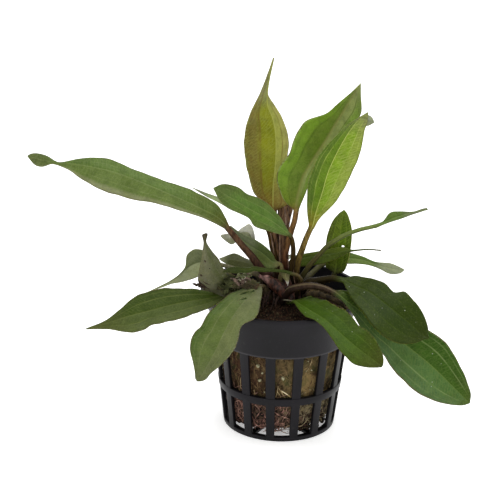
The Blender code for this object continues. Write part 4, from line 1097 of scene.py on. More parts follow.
def leaf_finish(name, look):
    """Leaf skin: bands from edge to edge, midrib, veins and rungs, a paler lower side and a ruddy stalk."""
    skin = Finish(name + "_skin")
    at = types.SimpleNamespace(across=skin.read("across"), side=skin.read("side"))
    at.blade, at.reach, at.under = skin.read("blade_mm"), skin.read("reach"), skin.read("under")
    at.edge, at.off = skin.size(at.across), skin.size(at.side)
    at.right = skin.rise(at.across, -look.ridge, look.ridge)
    ragged = skin.plus(at.edge, skin.times(skin.noise(4, 2), 0.1))
    outer = skin.rise(ragged, look.seam - 0.1, look.seam + 0.14)
    at.on_blade = skin.rise(at.blade, -1.5, look.neck)
    rung = leaf_rungs(skin, look, at)
    veins = long_veins(skin, look, at)

    # on some leaves the outer bands and the base band carry painted sheen and painted shade, as noted at
    # their looks
    left_half = skin.mix(outer, look.left_in, look.left)
    right_half = skin.mix(outer, look.right_in, look.right)
    body = skin.mix(at.right, left_half, right_half)
    ends = skin.plus(at.reach, skin.times(skin.less(skin.noise(6, 2), 0.5), 0.2))
    base_end, tip_start = look.bands
    body = skin.mix(skin.rise(ends, 0.0, base_end, 0.85, 0.0), body, look.base)
    body = skin.mix(skin.rise(ends, tip_start - 0.12, min(1, tip_start + 0.12), 0.0, 0.85), body, look.tip)
    cloud = skin.noise(8, 3)
    body = skin.mix(skin.rise(cloud, 0.42, 0.68, 0.0, 0.26), body, CLOUD_LIGHT, blend="SOFT_LIGHT")
    shade = skin.noise(3.0, 4)
    body = skin.mix(skin.rise(shade, 0.4, 0.7, 0.0, 0.25), body, PATCH_SHADE)
    grain = skin.noise(0.5, 3, rough=0.6)
    body = skin.mix(skin.rise(grain, 0.44, 0.72, 0.0, 0.22), body, GRAIN_DARK)
    body = skin.mix(skin.rise(grain, 0.3, 0.48, 0.04, 0.0), body, GRAIN_PALE)
    body = skin.mix(skin.times(rung, 0.85), body, look.rib)
    body = skin.mix(skin.times(veins, 0.75), body, look.vein)
    body = skin.mix(skin.rise(at.edge, 0.93, 0.985, 0.0, 0.85), body, look.rim)
    below = skin.mix(skin.times(rung, 0.5), look.under, look.left_in)
    below = skin.mix(skin.rise(shade, 0.4, 0.7, 0.0, 0.3), below, look.left_in)
    body = skin.mix(at.under, body, below)
    midrib = skin.rise(at.off, 0.08, look.rib_wide, 1.0, 0.0)
    midrib = skin.times(midrib, skin.rise(at.reach, 0.7, 1.0, look.ribs, look.ribs * 0.4))
    body = skin.mix(midrib, body, look.rib)
    body = skin.mix(at.on_blade, stalk_colour(skin, look, at), body)
    if look.specks:
        dots = skin.rise(skin.cells(skin.place, 2.1 * MM, 1.0), 0.04, 0.11, 1.0, 0.0)
        dots = skin.times(dots, skin.rise(skin.noise(3.7, 1), 0.5, 0.62))
        dots = skin.times(skin.times(dots, at.on_blade), min(1, look.specks * 2))
        body = skin.mix(dots, body, PALE_SPECK)

    high = skin.plus(skin.times(rung, -0.3), skin.times(grain, 0.4))
    high = skin.plus(high, skin.times(veins, -0.8))
    high = skin.plus(high, skin.times(midrib, -0.5))
    skin.relief(high, 0.08)
    rough = skin.rise(shade, 0.3, 0.7, look.gloss - 0.06, look.gloss + 0.08)
    return skin.surface(
        body, rough, Subsurface_Weight=0.2, Subsurface_Scale=0.0003, Subsurface_Radius=(0.9, 1.0, 0.25),
        Specular_IOR_Level=0.06
    )


def pierce(obj, spot, size):
    """A round hole through the blade, where it shows at this spot of the photograph, its size in pixels."""

    def inside(middle, normal):
        return np.linalg.norm(in_photo(np.array([middle]))[0] - spot) < size / 2

    make_active(obj)
    edit("FACE")
    pick_faces(obj, inside)
    bpy.ops.mesh.delete(type="FACE")
    bpy.ops.mesh.select_mode(type="EDGE")
    pick(obj, "edges", lambda line: line.is_boundary)
    bpy.ops.mesh.bridge_edge_loops()
    leave_edit()


BLADES = {}
for number, (name, leaf) in enumerate(LEAVES.items()):
    BLADES[name] = roll_leaf(name + "_blade", leaf, LOOKS[name], number)
    finish_piece(BLADES[name], SLOT_OF[name], leaf_finish(name, LOOKS[name]), name)
HOLE_AT, HOLE_SIZE = (343, 246.5), 2.6
pierce(BLADES["leaf_11"], HOLE_AT, HOLE_SIZE)


# the pot

SIDES = 300
BARS = 15
FIRST_BAR = -98
BAR_SHARE = 0.38
FOOT_INNER = 17.6
HUB = 6
SPOKE_EVERY = 3
BOTTOM_BAND = 1.6
RING_FOOT = 14.6
RING_TOP = 17.4
COLLAR_FOOT = 34
BELOW_COLLAR = COLLAR_FOOT - 0.01
FLARE_FOOT = 42.5
LIP_FOOT = 48.6
POT_HEIGHT = 50
POT_WALL = 1.2
PROUD = 0.22
EDGE_ROUND = 0.22
ROUNDED_FROM = math.radians(35)
SMOOTH_UP_TO = 40
POT_LEVELS = (
    0, BOTTOM_BAND, RING_FOOT, RING_TOP, BELOW_COLLAR, COLLAR_FOOT, FLARE_FOOT, LIP_FOOT, POT_HEIGHT
)
POT_RADII = {
    0: 20.1, BELOW_COLLAR: 24.2, COLLAR_FOOT: 24.7, FLARE_FOOT: 25.7, LIP_FOOT: 29.1, POT_HEIGHT: 29.1
}


def pot_radius(height):
    return float(read_off(POT_RADII, height))


def from_bar(place):
    """Degrees from the middle of the nearest bar, and that bar's number."""
    turn = math.degrees(math.atan2(place.y, place.x)) - FIRST_BAR
    pitch = 360 / BARS
    bar = round(turn / pitch)
    return abs(turn - bar * pitch), bar % BARS


def on_bar(place):
    return from_bar(place)[0] < 180 / BARS * BAR_SHARE


def on_spoke(place):
    return on_bar(place) and from_bar(place)[1] % SPOKE_EVERY == 0


def in_slot(middle, normal):
    if abs(normal.z) > 0.5:
        radius = math.hypot(middle.x, middle.y)
        return HUB < radius < FOOT_INNER and not on_spoke(middle)
    in_row = BOTTOM_BAND < middle.z < RING_FOOT or RING_TOP < middle.z < BELOW_COLLAR
    return in_row and not on_bar(middle)


def proud_band(middle, normal):
    """The outer skin of the ring between the two rows of slots."""
    outward = normal.x * middle.x + normal.y * middle.y > 0.5 * math.hypot(middle.x, middle.y)
    return outward and RING_FOOT < middle.z < RING_TOP


def mark_inner(pot):
    """Marks the points of the inner skin, which is painted darker as shade inside the pot."""
    places = np.empty(len(pot.data.vertices) * 3)
    pot.data.vertices.foreach_get("co", places)
    x, y, z = places.reshape(-1, 3).T / MM
    inner = (np.hypot(x, y) < read_off(POT_RADII, z) - POT_WALL + 0.3) & (z > 1)
    pot.data.attributes.new("inner", "FLOAT", "POINT").data.foreach_set("value", inner.astype(float))


def build_pot():
    """A disc drawn up level by level, with its slots cut out, thickened and rounded at its edges."""
    deselect()
    bottom = pot_radius(0)
    bpy.ops.mesh.primitive_circle_add(vertices=SIDES, radius=bottom * MM, fill_type="NGON")
    pot = start("pot_moulding")
    half_side = math.pi / SIDES + math.radians(FIRST_BAR)
    bpy.ops.transform.rotate(value=-half_side, orient_axis="Z", center_override=(0, 0, 0))
    edit("FACE")
    select_all()
    bpy.ops.mesh.inset(thickness=(bottom - FOOT_INNER) * MM)
    bpy.ops.mesh.inset(thickness=(FOOT_INNER - HUB) * MM)
    bpy.ops.mesh.poke()
    bpy.ops.mesh.select_mode(type="EDGE")
    pick_edges(pot, lambda a, b: min(a.xy.length, b.xy.length) > bottom - 0.1 and a.z + b.z < 0.001)
    for lower, upper in zip(POT_LEVELS, POT_LEVELS[1:]):
        bpy.ops.mesh.extrude_edges_move(TRANSFORM_OT_translate={"value": (0, 0, (upper - lower) * MM)})
        wider = pot_radius(upper) / pot_radius(lower)
        bpy.ops.transform.resize(value=(wider, wider, 1), center_override=(0, 0, 0))
    bpy.ops.mesh.select_mode(type="FACE")
    pick_faces(pot, in_slot)
    bpy.ops.mesh.delete(type="FACE")
    face_outward()
    apply(pot, "wall", "SOLIDIFY", thickness=POT_WALL * MM, offset=-1, use_even_offset=True)
    edit("FACE")
    pick_faces(pot, proud_band)
    bpy.ops.mesh.extrude_region_shrink_fatten(TRANSFORM_OT_shrink_fatten={"value": PROUD * MM})
    leave_edit()
    rounding = {"width": EDGE_ROUND * MM, "segments": 2, "limit_method": "ANGLE", "angle_limit": ROUNDED_FROM}
    apply(pot, "edges", "BEVEL", **rounding)
    settle(pot, SMOOTH_UP_TO)
    mark_inner(pot)
    return pot


def pot_finish():
    """Dull black plastic, a little worn and dusty, with a painted pale reflection on the ledge under the
    collar and painted shade inside.
    """
    black = Finish("black_pot_plastic")
    worn = black.noise(9, 4, stretch=(1, 1, 0.5))
    fine = black.noise(0.35, 2)
    colour = black.mix(black.rise(worn, 0.3, 0.75), (15, 14, 16), (23, 21, 25))
    dust = black.times(black.rise(black.noise(1.3, 5, rough=0.7), 0.6, 0.74), 0.1)
    colour = black.mix(dust, colour, (110, 106, 104))
    # painted reflection: a pale line on the ledge under the collar, where the rounded edge would catch the
    # bright floor
    ledge = black.size(black.less(black.axis(2), COLLAR_FOOT + 0.25))
    colour = black.mix(black.rise(ledge, 0.15, 0.45, 0.3, 0.0), colour, (84, 82, 84))
    # painted shade: the inner skin darkened almost to black
    colour = black.mix(black.times(black.read("inner"), 0.8), colour, (6, 6, 8))
    black.relief(fine, 0.02)
    return black.surface(colour, black.rise(worn, 0.3, 0.7, 0.34, 0.5), Specular_IOR_Level=0.12)


finish_piece(build_pot(), "pot_plastic", pot_finish(), "net_pot")


# the plug, its soil, and what grows through it

# outlines of the lathe bodies, from below, as radius and height
PLUG_OUTLINE = [
    (17, 12.6), (19.0, 14.2), (19.9, 22), (20.9, 32), (22.6, 38), (23.2, 41.6), (22.4, 43.2), (15.5, 44.4),
    (10, 45.9), (7.6, 47.6),
]
ROOT_OUTLINE = [(13.5, 2.4), (16, 3.8), (17.3, 7), (17.6, 11.4), (17.2, 13.4)]

# radius by height: of the fibres on the plug, the grains in it and the straws on it; soil height by radius
FIBRE_RADII = {14: 19.2, 22: 20.4, 40: 22.4, 43: 21.8}
GRAIN_RADII = {14: 19.6, 22: 20.8, 40: 22.6, 43: 22}
STRAW_RADII = {14: 21.5, 22: 22.2, 40: 23.4}
SOIL_HEIGHTS = {0: 48.6, 7.6: 47.6, 10: 45.9, 15.5: 44.4, 22.4: 43.2, 23.2: 42}
SOIL_EDGE = 22.6
WALL_GAP = 0.35


def turned(name, outline, sides, rows):
    """A lathe body: a disc drawn up to the outline row by row, its two ends inset in rings."""
    deselect()
    radii, heights = smooth(outline, np.linspace(0, 1, rows + 1)).T
    bpy.ops.mesh.primitive_circle_add(
        vertices=sides, radius=radii[0] * MM, location=(0, 0, heights[0] * MM), fill_type="NGON"
    )
    obj = start(name)
    settle(obj)
    edit("FACE")
    select_all()
    for k in range(rows):
        bpy.ops.mesh.extrude_region_move(
            TRANSFORM_OT_translate={"value": (0, 0, (heights[k + 1] - heights[k]) * MM)}
        )
        wider = radii[k + 1] / radii[k]
        bpy.ops.transform.resize(value=(wider, wider, 1), center_override=(0, 0, 0))
    ring_end(radii[-1])
    pick_faces(obj, lambda middle, normal: middle.z < heights[0] + 0.001)
    ring_end(radii[0])
    face_outward()
    return obj


def ring_end(radius):
    """Insets the selected end of a lathe body three times and joins its middle in a point."""
    for _ in range(3):
        bpy.ops.mesh.inset(thickness=radius / 4 * MM)
    bpy.ops.mesh.poke()


def roughen(obj, name, size, depth, middle=0.5):
    """Raises and sinks the surface in lumps of this size, both in millimetres."""
    texture = bpy.data.textures.new(name, "CLOUDS")
    texture.noise_scale = size * MM
    texture.noise_depth = 2
    lumps = {"texture": texture, "texture_coords": "LOCAL", "strength": depth * MM, "mid_level": middle}
    apply(obj, name, "DISPLACE", **lumps)


def fibre_finish():
    """Brown fibre, paler to the right: lengthwise strands, painted shade in its gaps and hollows, green
    algae, and dark soil on top.
    """
    fibre = Finish("plug_fibre_mat")
    across, high = fibre.axis(0), fibre.axis(2)
    patch = fibre.noise(7, 3)
    strand = fibre.noise(1.1, 4, stretch=(1.6, 1.6, 0.5), rough=0.65)
    left_to_right = fibre.plus(across, fibre.times(patch, 12))
    colour = fibre.mix(fibre.rise(left_to_right, -8.0, 16.0), (69, 46, 34), (98, 86, 56))
    colour = fibre.mix(fibre.rise(strand, 0.5, 0.74, 0, 0.55), colour, (130, 108, 72))
    # painted shade: near black where the strands part, and in patches that stand for hollows
    colour = fibre.mix(fibre.rise(strand, 0.3, 0.5, 0.9, 0), colour, (24, 17, 12))
    colour = fibre.mix(fibre.rise(patch, 0.36, 0.5, 0.6, 0), colour, (34, 24, 16))
    tufts = fibre.rise(fibre.noise(2.2, 3), 0.5, 0.62)
    tufts = fibre.times(tufts, fibre.rise(across, -4.0, 9.0, 0.15, 0.7))
    colour = fibre.mix(tufts, colour, (132, 112, 74))
    beside = fibre.reckon("DIVIDE", fibre.less(across, 9.6), 3.4)
    above = fibre.reckon("DIVIDE", fibre.less(high, 21.4), 4.6)
    far = fibre.plus(fibre.times(beside, beside), fibre.times(above, above))
    far = fibre.plus(far, fibre.times(fibre.less(strand, 0.5), 2.4))
    clump = fibre.times(fibre.rise(far, 0.5, 1.2, 0.8, 0), fibre.rise(fibre.axis(1), -10.0, -14.0))
    colour = fibre.mix(clump, colour, (150, 126, 82))
    algae = fibre.times(fibre.rise(fibre.noise(4, 2), 0.52, 0.64), 0.45)
    colour = fibre.mix(algae, colour, (62, 70, 36))
    soil = fibre.mix(fibre.rise(strand, 0.4, 0.62), (27, 20, 15), (62, 42, 30))
    colour = fibre.mix(fibre.rise(high, 42.4, 43.6), colour, soil)
    fibre.relief(strand, 0.5)
    return fibre.surface(colour, 0.9, Specular_IOR_Level=0.1)


def plain_finish(name, first, second, size, rough=0.8, relief=0.1, stretch=(1, 1, 1)):
    """A natural surface clouded between two colours."""
    skin = Finish(name)
    cloud = skin.noise(size, 4, stretch=stretch, rough=0.6)
    colour = skin.mix(skin.rise(cloud, 0.38, 0.62), first, second)
    skin.relief(cloud, relief)
    return skin.surface(colour, rough, Specular_IOR_Level=0.15)


def root_finish(name, dark, pale, dark_right, pale_right):
    """Root skin: ruddy, turning to straw colour at the right."""
    skin = Finish(name)
    cloud = skin.rise(skin.noise(1.4, 3, rough=0.6), 0.38, 0.62)
    right = skin.rise(skin.plus(skin.axis(0), skin.times(skin.noise(5, 1), 8)), 5.0, 12.0)
    colour = skin.mix(right, skin.mix(cloud, dark, pale), skin.mix(cloud, dark_right, pale_right))
    return skin.surface(colour, 0.6, Specular_IOR_Level=0.15)


def ball_finish():
    """Dark crumbs between the roots, partly painted shade in the gaps among them, with the plug's own fibre
    showing at the upper right.
    """
    mat = Finish("root_ball_dark")
    cloud = mat.noise(1.4, 4, rough=0.65)
    # partly painted shade: the dark of the ball gives the gaps between the roots
    colour = mat.mix(mat.rise(cloud, 0.4, 0.64), (28, 21, 18), (104, 84, 68))
    fibre = mat.mix(mat.rise(cloud, 0.36, 0.6), (76, 64, 46), (160, 144, 108))
    at_right = mat.rise(mat.axis(0), -1.0, 5.0)
    shown = mat.times(at_right, mat.rise(mat.plus(mat.axis(2), mat.times(cloud, 4)), 10.0, 12.0))
    mat.relief(cloud, 0.5)
    return mat.surface(mat.mix(shown, colour, fibre), 0.85, Specular_IOR_Level=0.1)


def strand_mesh(name, strands, sides):
    """One mesh of many thin bent rods: each strand is its points, its radii and its number of rings."""
    circle = np.arange(sides) * 2 * math.pi / sides
    points, faces = [], []
    for route, radii, count in strands:
        shares = np.linspace(0, 1, count)
        centre = along(route, shares)
        radius = np.interp(shares, np.linspace(0, 1, len(radii)), radii)[:, None, None]
        ahead = unit(np.gradient(centre, axis=0))
        side = unit(np.cross(ahead, (0.31, 0.52, 0.8)))
        up = np.cross(side, ahead)
        ring = np.cos(circle)[None, :, None] * side[:, None] + np.sin(circle)[None, :, None] * up[:, None]
        first = len(points)
        points.extend((centre[:, None] + radius * ring).reshape(-1, 3))
        for k in range(count - 1):
            for s in range(sides):
                a, b = first + k * sides + s, first + k * sides + (s + 1) % sides
                faces.append((a, b, b + sides, a + sides))
        last = first + (count - 1) * sides
        faces.append(tuple(first + s for s in reversed(range(sides))))
        faces.append(tuple(last + s for s in range(sides)))
    mesh = bpy.data.meshes.new(name)
    mesh.from_pydata(np.array(points) * MM, [], faces)
    obj = bpy.data.objects.new(name, mesh)
    bpy.context.collection.objects.link(obj)
    make_active(obj)
    edit("FACE")
    face_outward()
    settle(obj)
    return obj


def strand_piece(name, strands, sides, slot, finish, *nodes, creases=None):
    """A finished piece of strands, roughened where creases names them and gives their size and depth."""
    piece = strand_mesh(name, strands, sides)
    if creases:
        roughen(piece, *creases)
    return finish_piece(piece, slot, finish, *nodes)


def with_rings(strands, count):
    return [(route, radii, count) for route, radii in strands]


def inner_wall(height):
    return pot_radius(height) - POT_WALL - WALL_GAP


def root_strands(count):
    """Thin roots that wander over the outside of the root ball and cross each other."""
    strands = []
    for _ in range(count):
        turn = dice.uniform(0, 360)
        height = dice.uniform(3.5, 15)
        drift, climb = dice.uniform(-34, 34), dice.uniform(-6, 6)
        route = []
        for k in range(6):
            z = min(max(height + climb * k / 5 + dice.uniform(-1.6, 1.6), 1.9), 16)
            r = inner_wall(z) - dice.uniform(0.1, 2.6)
            if z < 3:
                r -= 1.2
            route.append(on_cylinder(turn + drift * k / 5 + dice.uniform(-3, 3), r, z))
        thick = dice.uniform(0.1, 0.21)
        strands.append((route, (thick * 0.6, thick, thick * 0.5)))
    return with_rings(strands, 14)


def hanging_roots(count):
    """Longer roots that leave the plug and curl down through the ball to the pot's floor."""
    strands = []
    for _ in range(count):
        turn = dice.uniform(0, 360)
        route = []
        for z, inward in ((19, 0), (15, 0), (11, 0), (7, 0), (3.6, 0), (2, 3)):
            r = inner_wall(z) - dice.uniform(0.2, 2.4) - inward
            route.append(on_cylinder(turn + dice.uniform(-14, 14), r, z + dice.uniform(-0.8, 0.8)))
        thick = dice.uniform(0.1, 0.22)
        strands.append((route, (thick, thick, thick * 0.5)))
    return with_rings(strands, 16)


def plug_fibres(count):
    """Short bent fibres lying on the side of the plug."""
    strands = []
    for _ in range(count):
        turn, height = dice.uniform(0, 360), dice.uniform(16, 42)
        lean = dice.uniform(-1, 1) * 1.3
        long = dice.uniform(2, 7)
        route = []
        for k in range(4):
            reach = (k / 3 - 0.5) * long
            z = min(max(height + reach * math.cos(lean), 14.5), 43)
            turned_by = math.degrees(reach * math.sin(lean) / 21)
            r = min(inner_wall(z) - 0.2, read_off(FIBRE_RADII, z) + dice.uniform(-0.2, 0.9))
            route.append(on_cylinder(turn + turned_by + dice.uniform(-1, 1), r, z))
        thick = dice.uniform(0.06, 0.15)
        strands.append((route, (thick * 0.6, thick, thick * 0.4)))
    return with_rings(strands, 7)


# straws on the side of the plug: where each runs, as turn and height, and how thick it is
STRAWS = [
    ([(-89.2, 20.4), (-84.5, 19.2), (-79, 17.5)], 0.25),
    ([(-91.6, 21.4), (-88, 19.2), (-84.4, 17)], 0.16),
    ([(-92.3, 22.4), (-93, 19.6), (-95.4, 16.6)], 0.14),
    ([(-93.6, 20.4), (-90.6, 18.6), (-88.4, 16.4)], 0.12),
    ([(-131.6, 22.8), (-132, 19.6), (-134, 16.6)], 0.16),
    ([(-116.4, 19.4), (-115.4, 17.4), (-117.4, 15.6)], 0.18),
    ([(-104, 30), (-101, 26), (-102.5, 22.4)], 0.12),
    ([(-61, 33), (-63, 29.5), (-66.5, 27)], 0.14),
    ([(20, 32), (26, 28), (30, 27)], 0.22),
    ([(75, 24), (80, 28), (88, 30)], 0.2),
    ([(140, 30), (144, 24), (143, 19)], 0.22),
]


def straws(chosen):
    strands = []
    for places, thick in chosen:
        radii = [min(inner_wall(z) + 0.15, read_off(STRAW_RADII, z)) for _, z in places]
        route = [on_cylinder(turn, r, z) for (turn, z), r in zip(places, radii)]
        strands.append((route, (thick * 0.7, thick, thick * 0.4)))
    return with_rings(strands, 8)


def scatter(name, count, place, sizes, slot, finish):
    """Crumbs: one rough pebble modelled once, then copied, turned, sized and set by the place function."""
    deselect()
    bpy.ops.mesh.primitive_ico_sphere_add(subdivisions=2 if count < 100 else 1, radius=MM)
    pebble = start(name)
    roughen(pebble, name + "_lumps", 1.1, 1.0)
    return scatter_shape(pebble, count, place, sizes, slot, finish)


def scatter_shape(model, count, place, sizes, slot, finish):
    shape = model.data.copy()
    mesh = bmesh.new()
    for _ in range(count):
        spot = place()
        size = dice.uniform(*sizes)
        angle = dice.uniform(0, 6.28)
        axis = Vector((dice.uniform(-1, 1), dice.uniform(-1, 1), 0.5)).normalized()
        flatten = Matrix.Diagonal((1, dice.uniform(0.5, 1), dice.uniform(0.5, 1), 1))
        moved = Matrix.Translation(Vector(spot) * MM) @ Matrix.Scale(size, 4)
        first = len(mesh.verts)
        mesh.from_mesh(shape)
        mesh.verts.ensure_lookup_table()
        matrix = moved @ Matrix.Rotation(angle, 4, axis) @ flatten
        bmesh.ops.transform(mesh, matrix=matrix, verts=mesh.verts[first:])
    mesh.to_mesh(model.data)
    mesh.free()
    settle(model)
    return finish_piece(model, slot, finish)


# white grains that show between the front bars, as turn, height and size
GRAINS = iter([
    (-88, 25.3, 0.8), (-110.3, 23.7, 0.75), (-111.7, 29.4, 1.0), (-64.8, 31.5, 0.6), (-115.4, 35.6, 0.6),
    (-112.6, 36, 0.5), (-107.6, 26.8, 0.6), (-62, 35.6, 0.5), (-93, 35, 0.45), (-66, 27.6, 0.4),
])


def shown_grain():
    turn, z, size = next(GRAINS)
    return on_cylinder(turn, inner_wall(z) - 0.3 * size, z)


def in_litter():
    """A place low in the pot, at its front corners or anywhere round its back."""
    turn = dice.choice((dice.uniform(-170, -128), dice.uniform(-64, -12), dice.uniform(-10, 190)))
    return on_cylinder(turn, dice.uniform(13, 17.3), dice.uniform(2.0, 5.6))


def on_plug_side():
    turn, z = dice.uniform(0, 360), dice.uniform(17, 42)
    return on_cylinder(turn, min(read_off(GRAIN_RADII, z), inner_wall(z) - 0.3), z)


def on_soil():
    turn, r = dice.uniform(0, 360), SOIL_EDGE * math.sqrt(dice.uniform(0.09, 1))
    return on_cylinder(turn, r, float(read_off(SOIL_HEIGHTS, r)) + dice.uniform(-0.2, 0.4))


def at_rim():
    """A place in the ring between the plug's shoulder and the wall of the pot."""
    return on_cylinder(dice.uniform(0, 360), dice.uniform(22.8, 23.8), dice.uniform(41.2, 42.6))


plug = turned("fibre_plug", PLUG_OUTLINE, 120, 46)
roughen(plug, "plug_hollows", 6, 3, middle=0.64)
roughen(plug, "plug_lumps", 3, 1.5)
roughen(plug, "plug_grain", 1.1, 0.9)
settle(plug)
finish_piece(plug, "plug_fibre", fibre_finish(), "growing_plug")

ball = turned("root_ball", ROOT_OUTLINE, 80, 16)
roughen(ball, "ball_lumps", 3, 2.4)
settle(ball)
finish_piece(ball, "roots", ball_finish(), "root_mat")

ROOT_SKIN = root_finish("root_skin", (62, 42, 36), (158, 116, 102), (84, 72, 50), (146, 134, 104))
PALE_ROOTS = root_finish("pale_root_skin", (92, 66, 56), (164, 128, 112), (96, 84, 60), (152, 140, 110))
strand_piece("root_tangle", root_strands(260), 5, "roots", ROOT_SKIN)
strand_piece("root_hangers", hanging_roots(90), 5, "roots", PALE_ROOTS)
LITTER = plain_finish("root_litter_skin", (22, 15, 12), (66, 46, 36), 1.2, 0.9, 0.3)
scatter("root_litter", 420, in_litter, (0.6, 1.3), "roots", LITTER)

FIBRE = plain_finish("fibre_skin", (74, 54, 35), (126, 104, 70), 2.0, 0.8, 0.05)
STRAW = plain_finish("straw_skin", (176, 152, 104), (226, 214, 178), 2.5, 0.5, 0.03)
DULL_STRAW = plain_finish("dull_straw_skin", (112, 92, 64), (158, 138, 100), 2.5, 0.6, 0.03)
for name, strands, sides, finish in (
    ("plug_strands", plug_fibres(900), 4, FIBRE),
    ("bright_straw", straws(STRAWS[:1]), 7, STRAW),
    ("dull_straws", straws(STRAWS[1:]), 7, DULL_STRAW),
):
    strand_piece(name, strands, sides, "plug_fibre", finish)

PEARL = plain_finish("white_grain", (166, 160, 132), (118, 114, 82), 0.5, 0.7, 0.2)
MOSS = plain_finish("moss_crumb", (34, 29, 21), (84, 71, 50), 1.2, 0.95, 0.3)
for name, count, place, sizes, finish in (
    ("white_grains", 3, shown_grain, (0.62, 0.75), PEARL),
    ("small_grains", 7, shown_grain, (0.3, 0.5), PEARL),
    ("pale_grains", 46, on_plug_side, (0.15, 0.4), PEARL),
    ("soil_crumbs", 1500, on_soil, (0.16, 0.42), MOSS),
    ("rim_crumbs", 420, at_rim, (0.4, 0.75), MOSS),
):
    scatter(name, count, place, sizes, "plug_fibre", finish)


# the crown, the dead stalk and what stands round them

# a low dome where the stalks meet
CROWN_OUTLINE = [(6.0, 46.9), (7.0, 47.6), (6.6, 48.8), (5.2, 49.9), (3.2, 50.7), (1.2, 51)]
DEAD_ROUTE = [
    (7.8, -5.2, 49.8), (9.6, -8, 51.8), (12.4, -10.3, 53), (14.5, -11.3, 52.8), (17, -12.3, 52.2),
    (19.4, -13.3, 51.3), (21.5, -14.2, 50.4),
]
DEAD_RADII = (1.0, 1.0, 0.9, 0.95, 0.9, 0.95, 0.9, 0.5)

crown = turned("crown_dome", CROWN_OUTLINE, 48, 16)
roughen(crown, "crown_lumps", 2.4, 1.1)
settle(crown)
CROWN_BARK = plain_finish("crown_bark", (31, 23, 18), (62, 46, 36), 1.8, 0.6, 0.4, (1, 1, 0.5))
finish_piece(crown, "crown_skin", CROWN_BARK, "crown")
# partly painted shade: the dead stalk is dark where it lies under the arched stalk
DEAD_BARK = plain_finish("dead_bark", (27, 21, 12), (62, 51, 31), 2.0, 0.8, 0.2)
strand_piece(
    "dead_petiole", [(DEAD_ROUTE, DEAD_RADII, 60)], 16, "dead_skin", DEAD_BARK, "dead_stalk",
    creases=("dead_wrinkles", 2.0, 0.3),
)

# the tables of strands give each one's route and its radii along it
# sheaths: the swollen foot of old stalks round the crown
SHEATHS = [
    (
        [(2, -7.2, 49), (0.6, -6.9, 51.6), (-1.3, -6.6, 53.6), (-4.2, -6.2, 55.6), (-6.6, -5.8, 57),
         (-8.4, -5.6, 57.8)],
        (1.4, 2.2, 2.3, 2.0, 1.5, 0.5),
    ),
    ([(3, -7.4, 48.4), (2.6, -6, 51), (1.8, -4.6, 54), (0.6, -3.4, 57)], (1.5, 1.9, 1.6, 1.1)),
    ([(-4.6, -5.6, 47.6), (-5.6, -5.8, 50), (-6.4, -6.4, 52.6)], (1.4, 1.5, 1.0)),
    ([(6.4, -3.4, 48), (6.6, -2.6, 50.6), (6.4, -1.6, 53.4)], (1.5, 1.5, 1.0)),
    ([(-3.4, 3.6, 48.4), (-3.4, 3.4, 52), (-3, 3, 56)], (1.6, 1.5, 1.0)),
    ([(2.8, 4.6, 48.4), (2.4, 4.2, 52), (1.8, 3.6, 56)], (1.6, 1.5, 1.0)),
]
# young stalks that stand behind the ones in front
YOUNG_STALKS = [
    (
        [(0.2, 0.6, 50.6), (-0.1, 1.6, 57.9), (-0.1, 1.9, 62.7), (-0.2, 2.2, 68.3), (0.1, 2.6, 73.9),
         (0.4, 3.8, 78.4), (0.8, 5.6, 82.4)],
        (1.1, 1, 0.95, 0.95, 1.1, 1.3),
    ),
    (
        [(1.4, 1.2, 50.6), (1.3, 2, 60), (1, 3, 68.4), (0.9, 3.4, 72.6), (1.2, 4, 75.8), (2, 5, 79),
         (2.4, 6, 82)],
        (1, 0.85, 0.8, 0.8, 1, 1.2, 1.1),
    ),
    (
        [(-0.6, 1.6, 50.8), (0, 2, 60), (-0.5, 2.6, 66.3), (-1, 3.6, 72.3), (-1.2, 4.8, 76.5),
         (-1.3, 5.6, 80.4)],
        (1.1, 0.95, 0.9, 0.9, 0.9, 1.1),
    ),
    (
        [(-0.2, 1.4, 52), (-1, 1.8, 59.3), (-2, 2.2, 63.7), (-3, 2.4, 68.9), (-3.9, 2.8, 73.4),
         (-4.6, 3.4, 77)],
        (0.9, 0.9, 0.85, 0.85, 0.8, 0.7),
    ),
]
# strips of dead bark that hang from the swollen foot down to the soil
BARK = [
    ([(-5.6, -7.4, 53.2), (-6.4, -8.6, 50), (-7, -9.8, 46.4)], (0.25, 0.5, 0.3)),
    ([(-4.2, -7.6, 53), (-5.4, -8.6, 50.4), (-5.8, -9.6, 48)], (0.3, 0.5, 0.15)),
    ([(-3.2, -7.6, 52.4), (-3, -8.8, 49.4), (-4.2, -9.8, 46.2)], (0.3, 0.4, 0.3)),
    ([(-1.2, -7.6, 51), (-2.2, -8.8, 49.2), (-2.4, -10, 47.4)], (0.4, 0.5, 0.15)),
]
# the dry edges of the sheaths, pale partly as painted edge highlights
EDGES = [
    ([(-1.5, 0.2, 72.4), (-1.3, 0, 65.9), (-1.1, -0.4, 60.8)], (0.12, 0.28, 0.16)),
    ([(1.6, -1.3, 62.4), (2, -1.6, 59.9), (2.6, -2, 57.4)], (0.1, 0.22, 0.22)),
    ([(-4.6, 0.1, 71.6), (-3.9, -0.1, 67.9), (-3.2, -0.5, 63.8)], (0.14, 0.3, 0.12)),
    ([(0, 1.2, 81.4), (0.4, 1.1, 78.2), (0.7, 0.9, 74.5)], (0.16, 0.32, 0.2)),
    ([(3.7, -3.9, 60), (3.9, -4.4, 57), (4.4, -5, 54.6)], (0.08, 0.18, 0.12)),
]


def blunt(radii):
    """The same radii with a short rounded end."""
    return [*np.interp(np.linspace(0, 1, 24), np.linspace(0, 1, len(radii)), radii), 0.8 * radii[-1], 0.2]


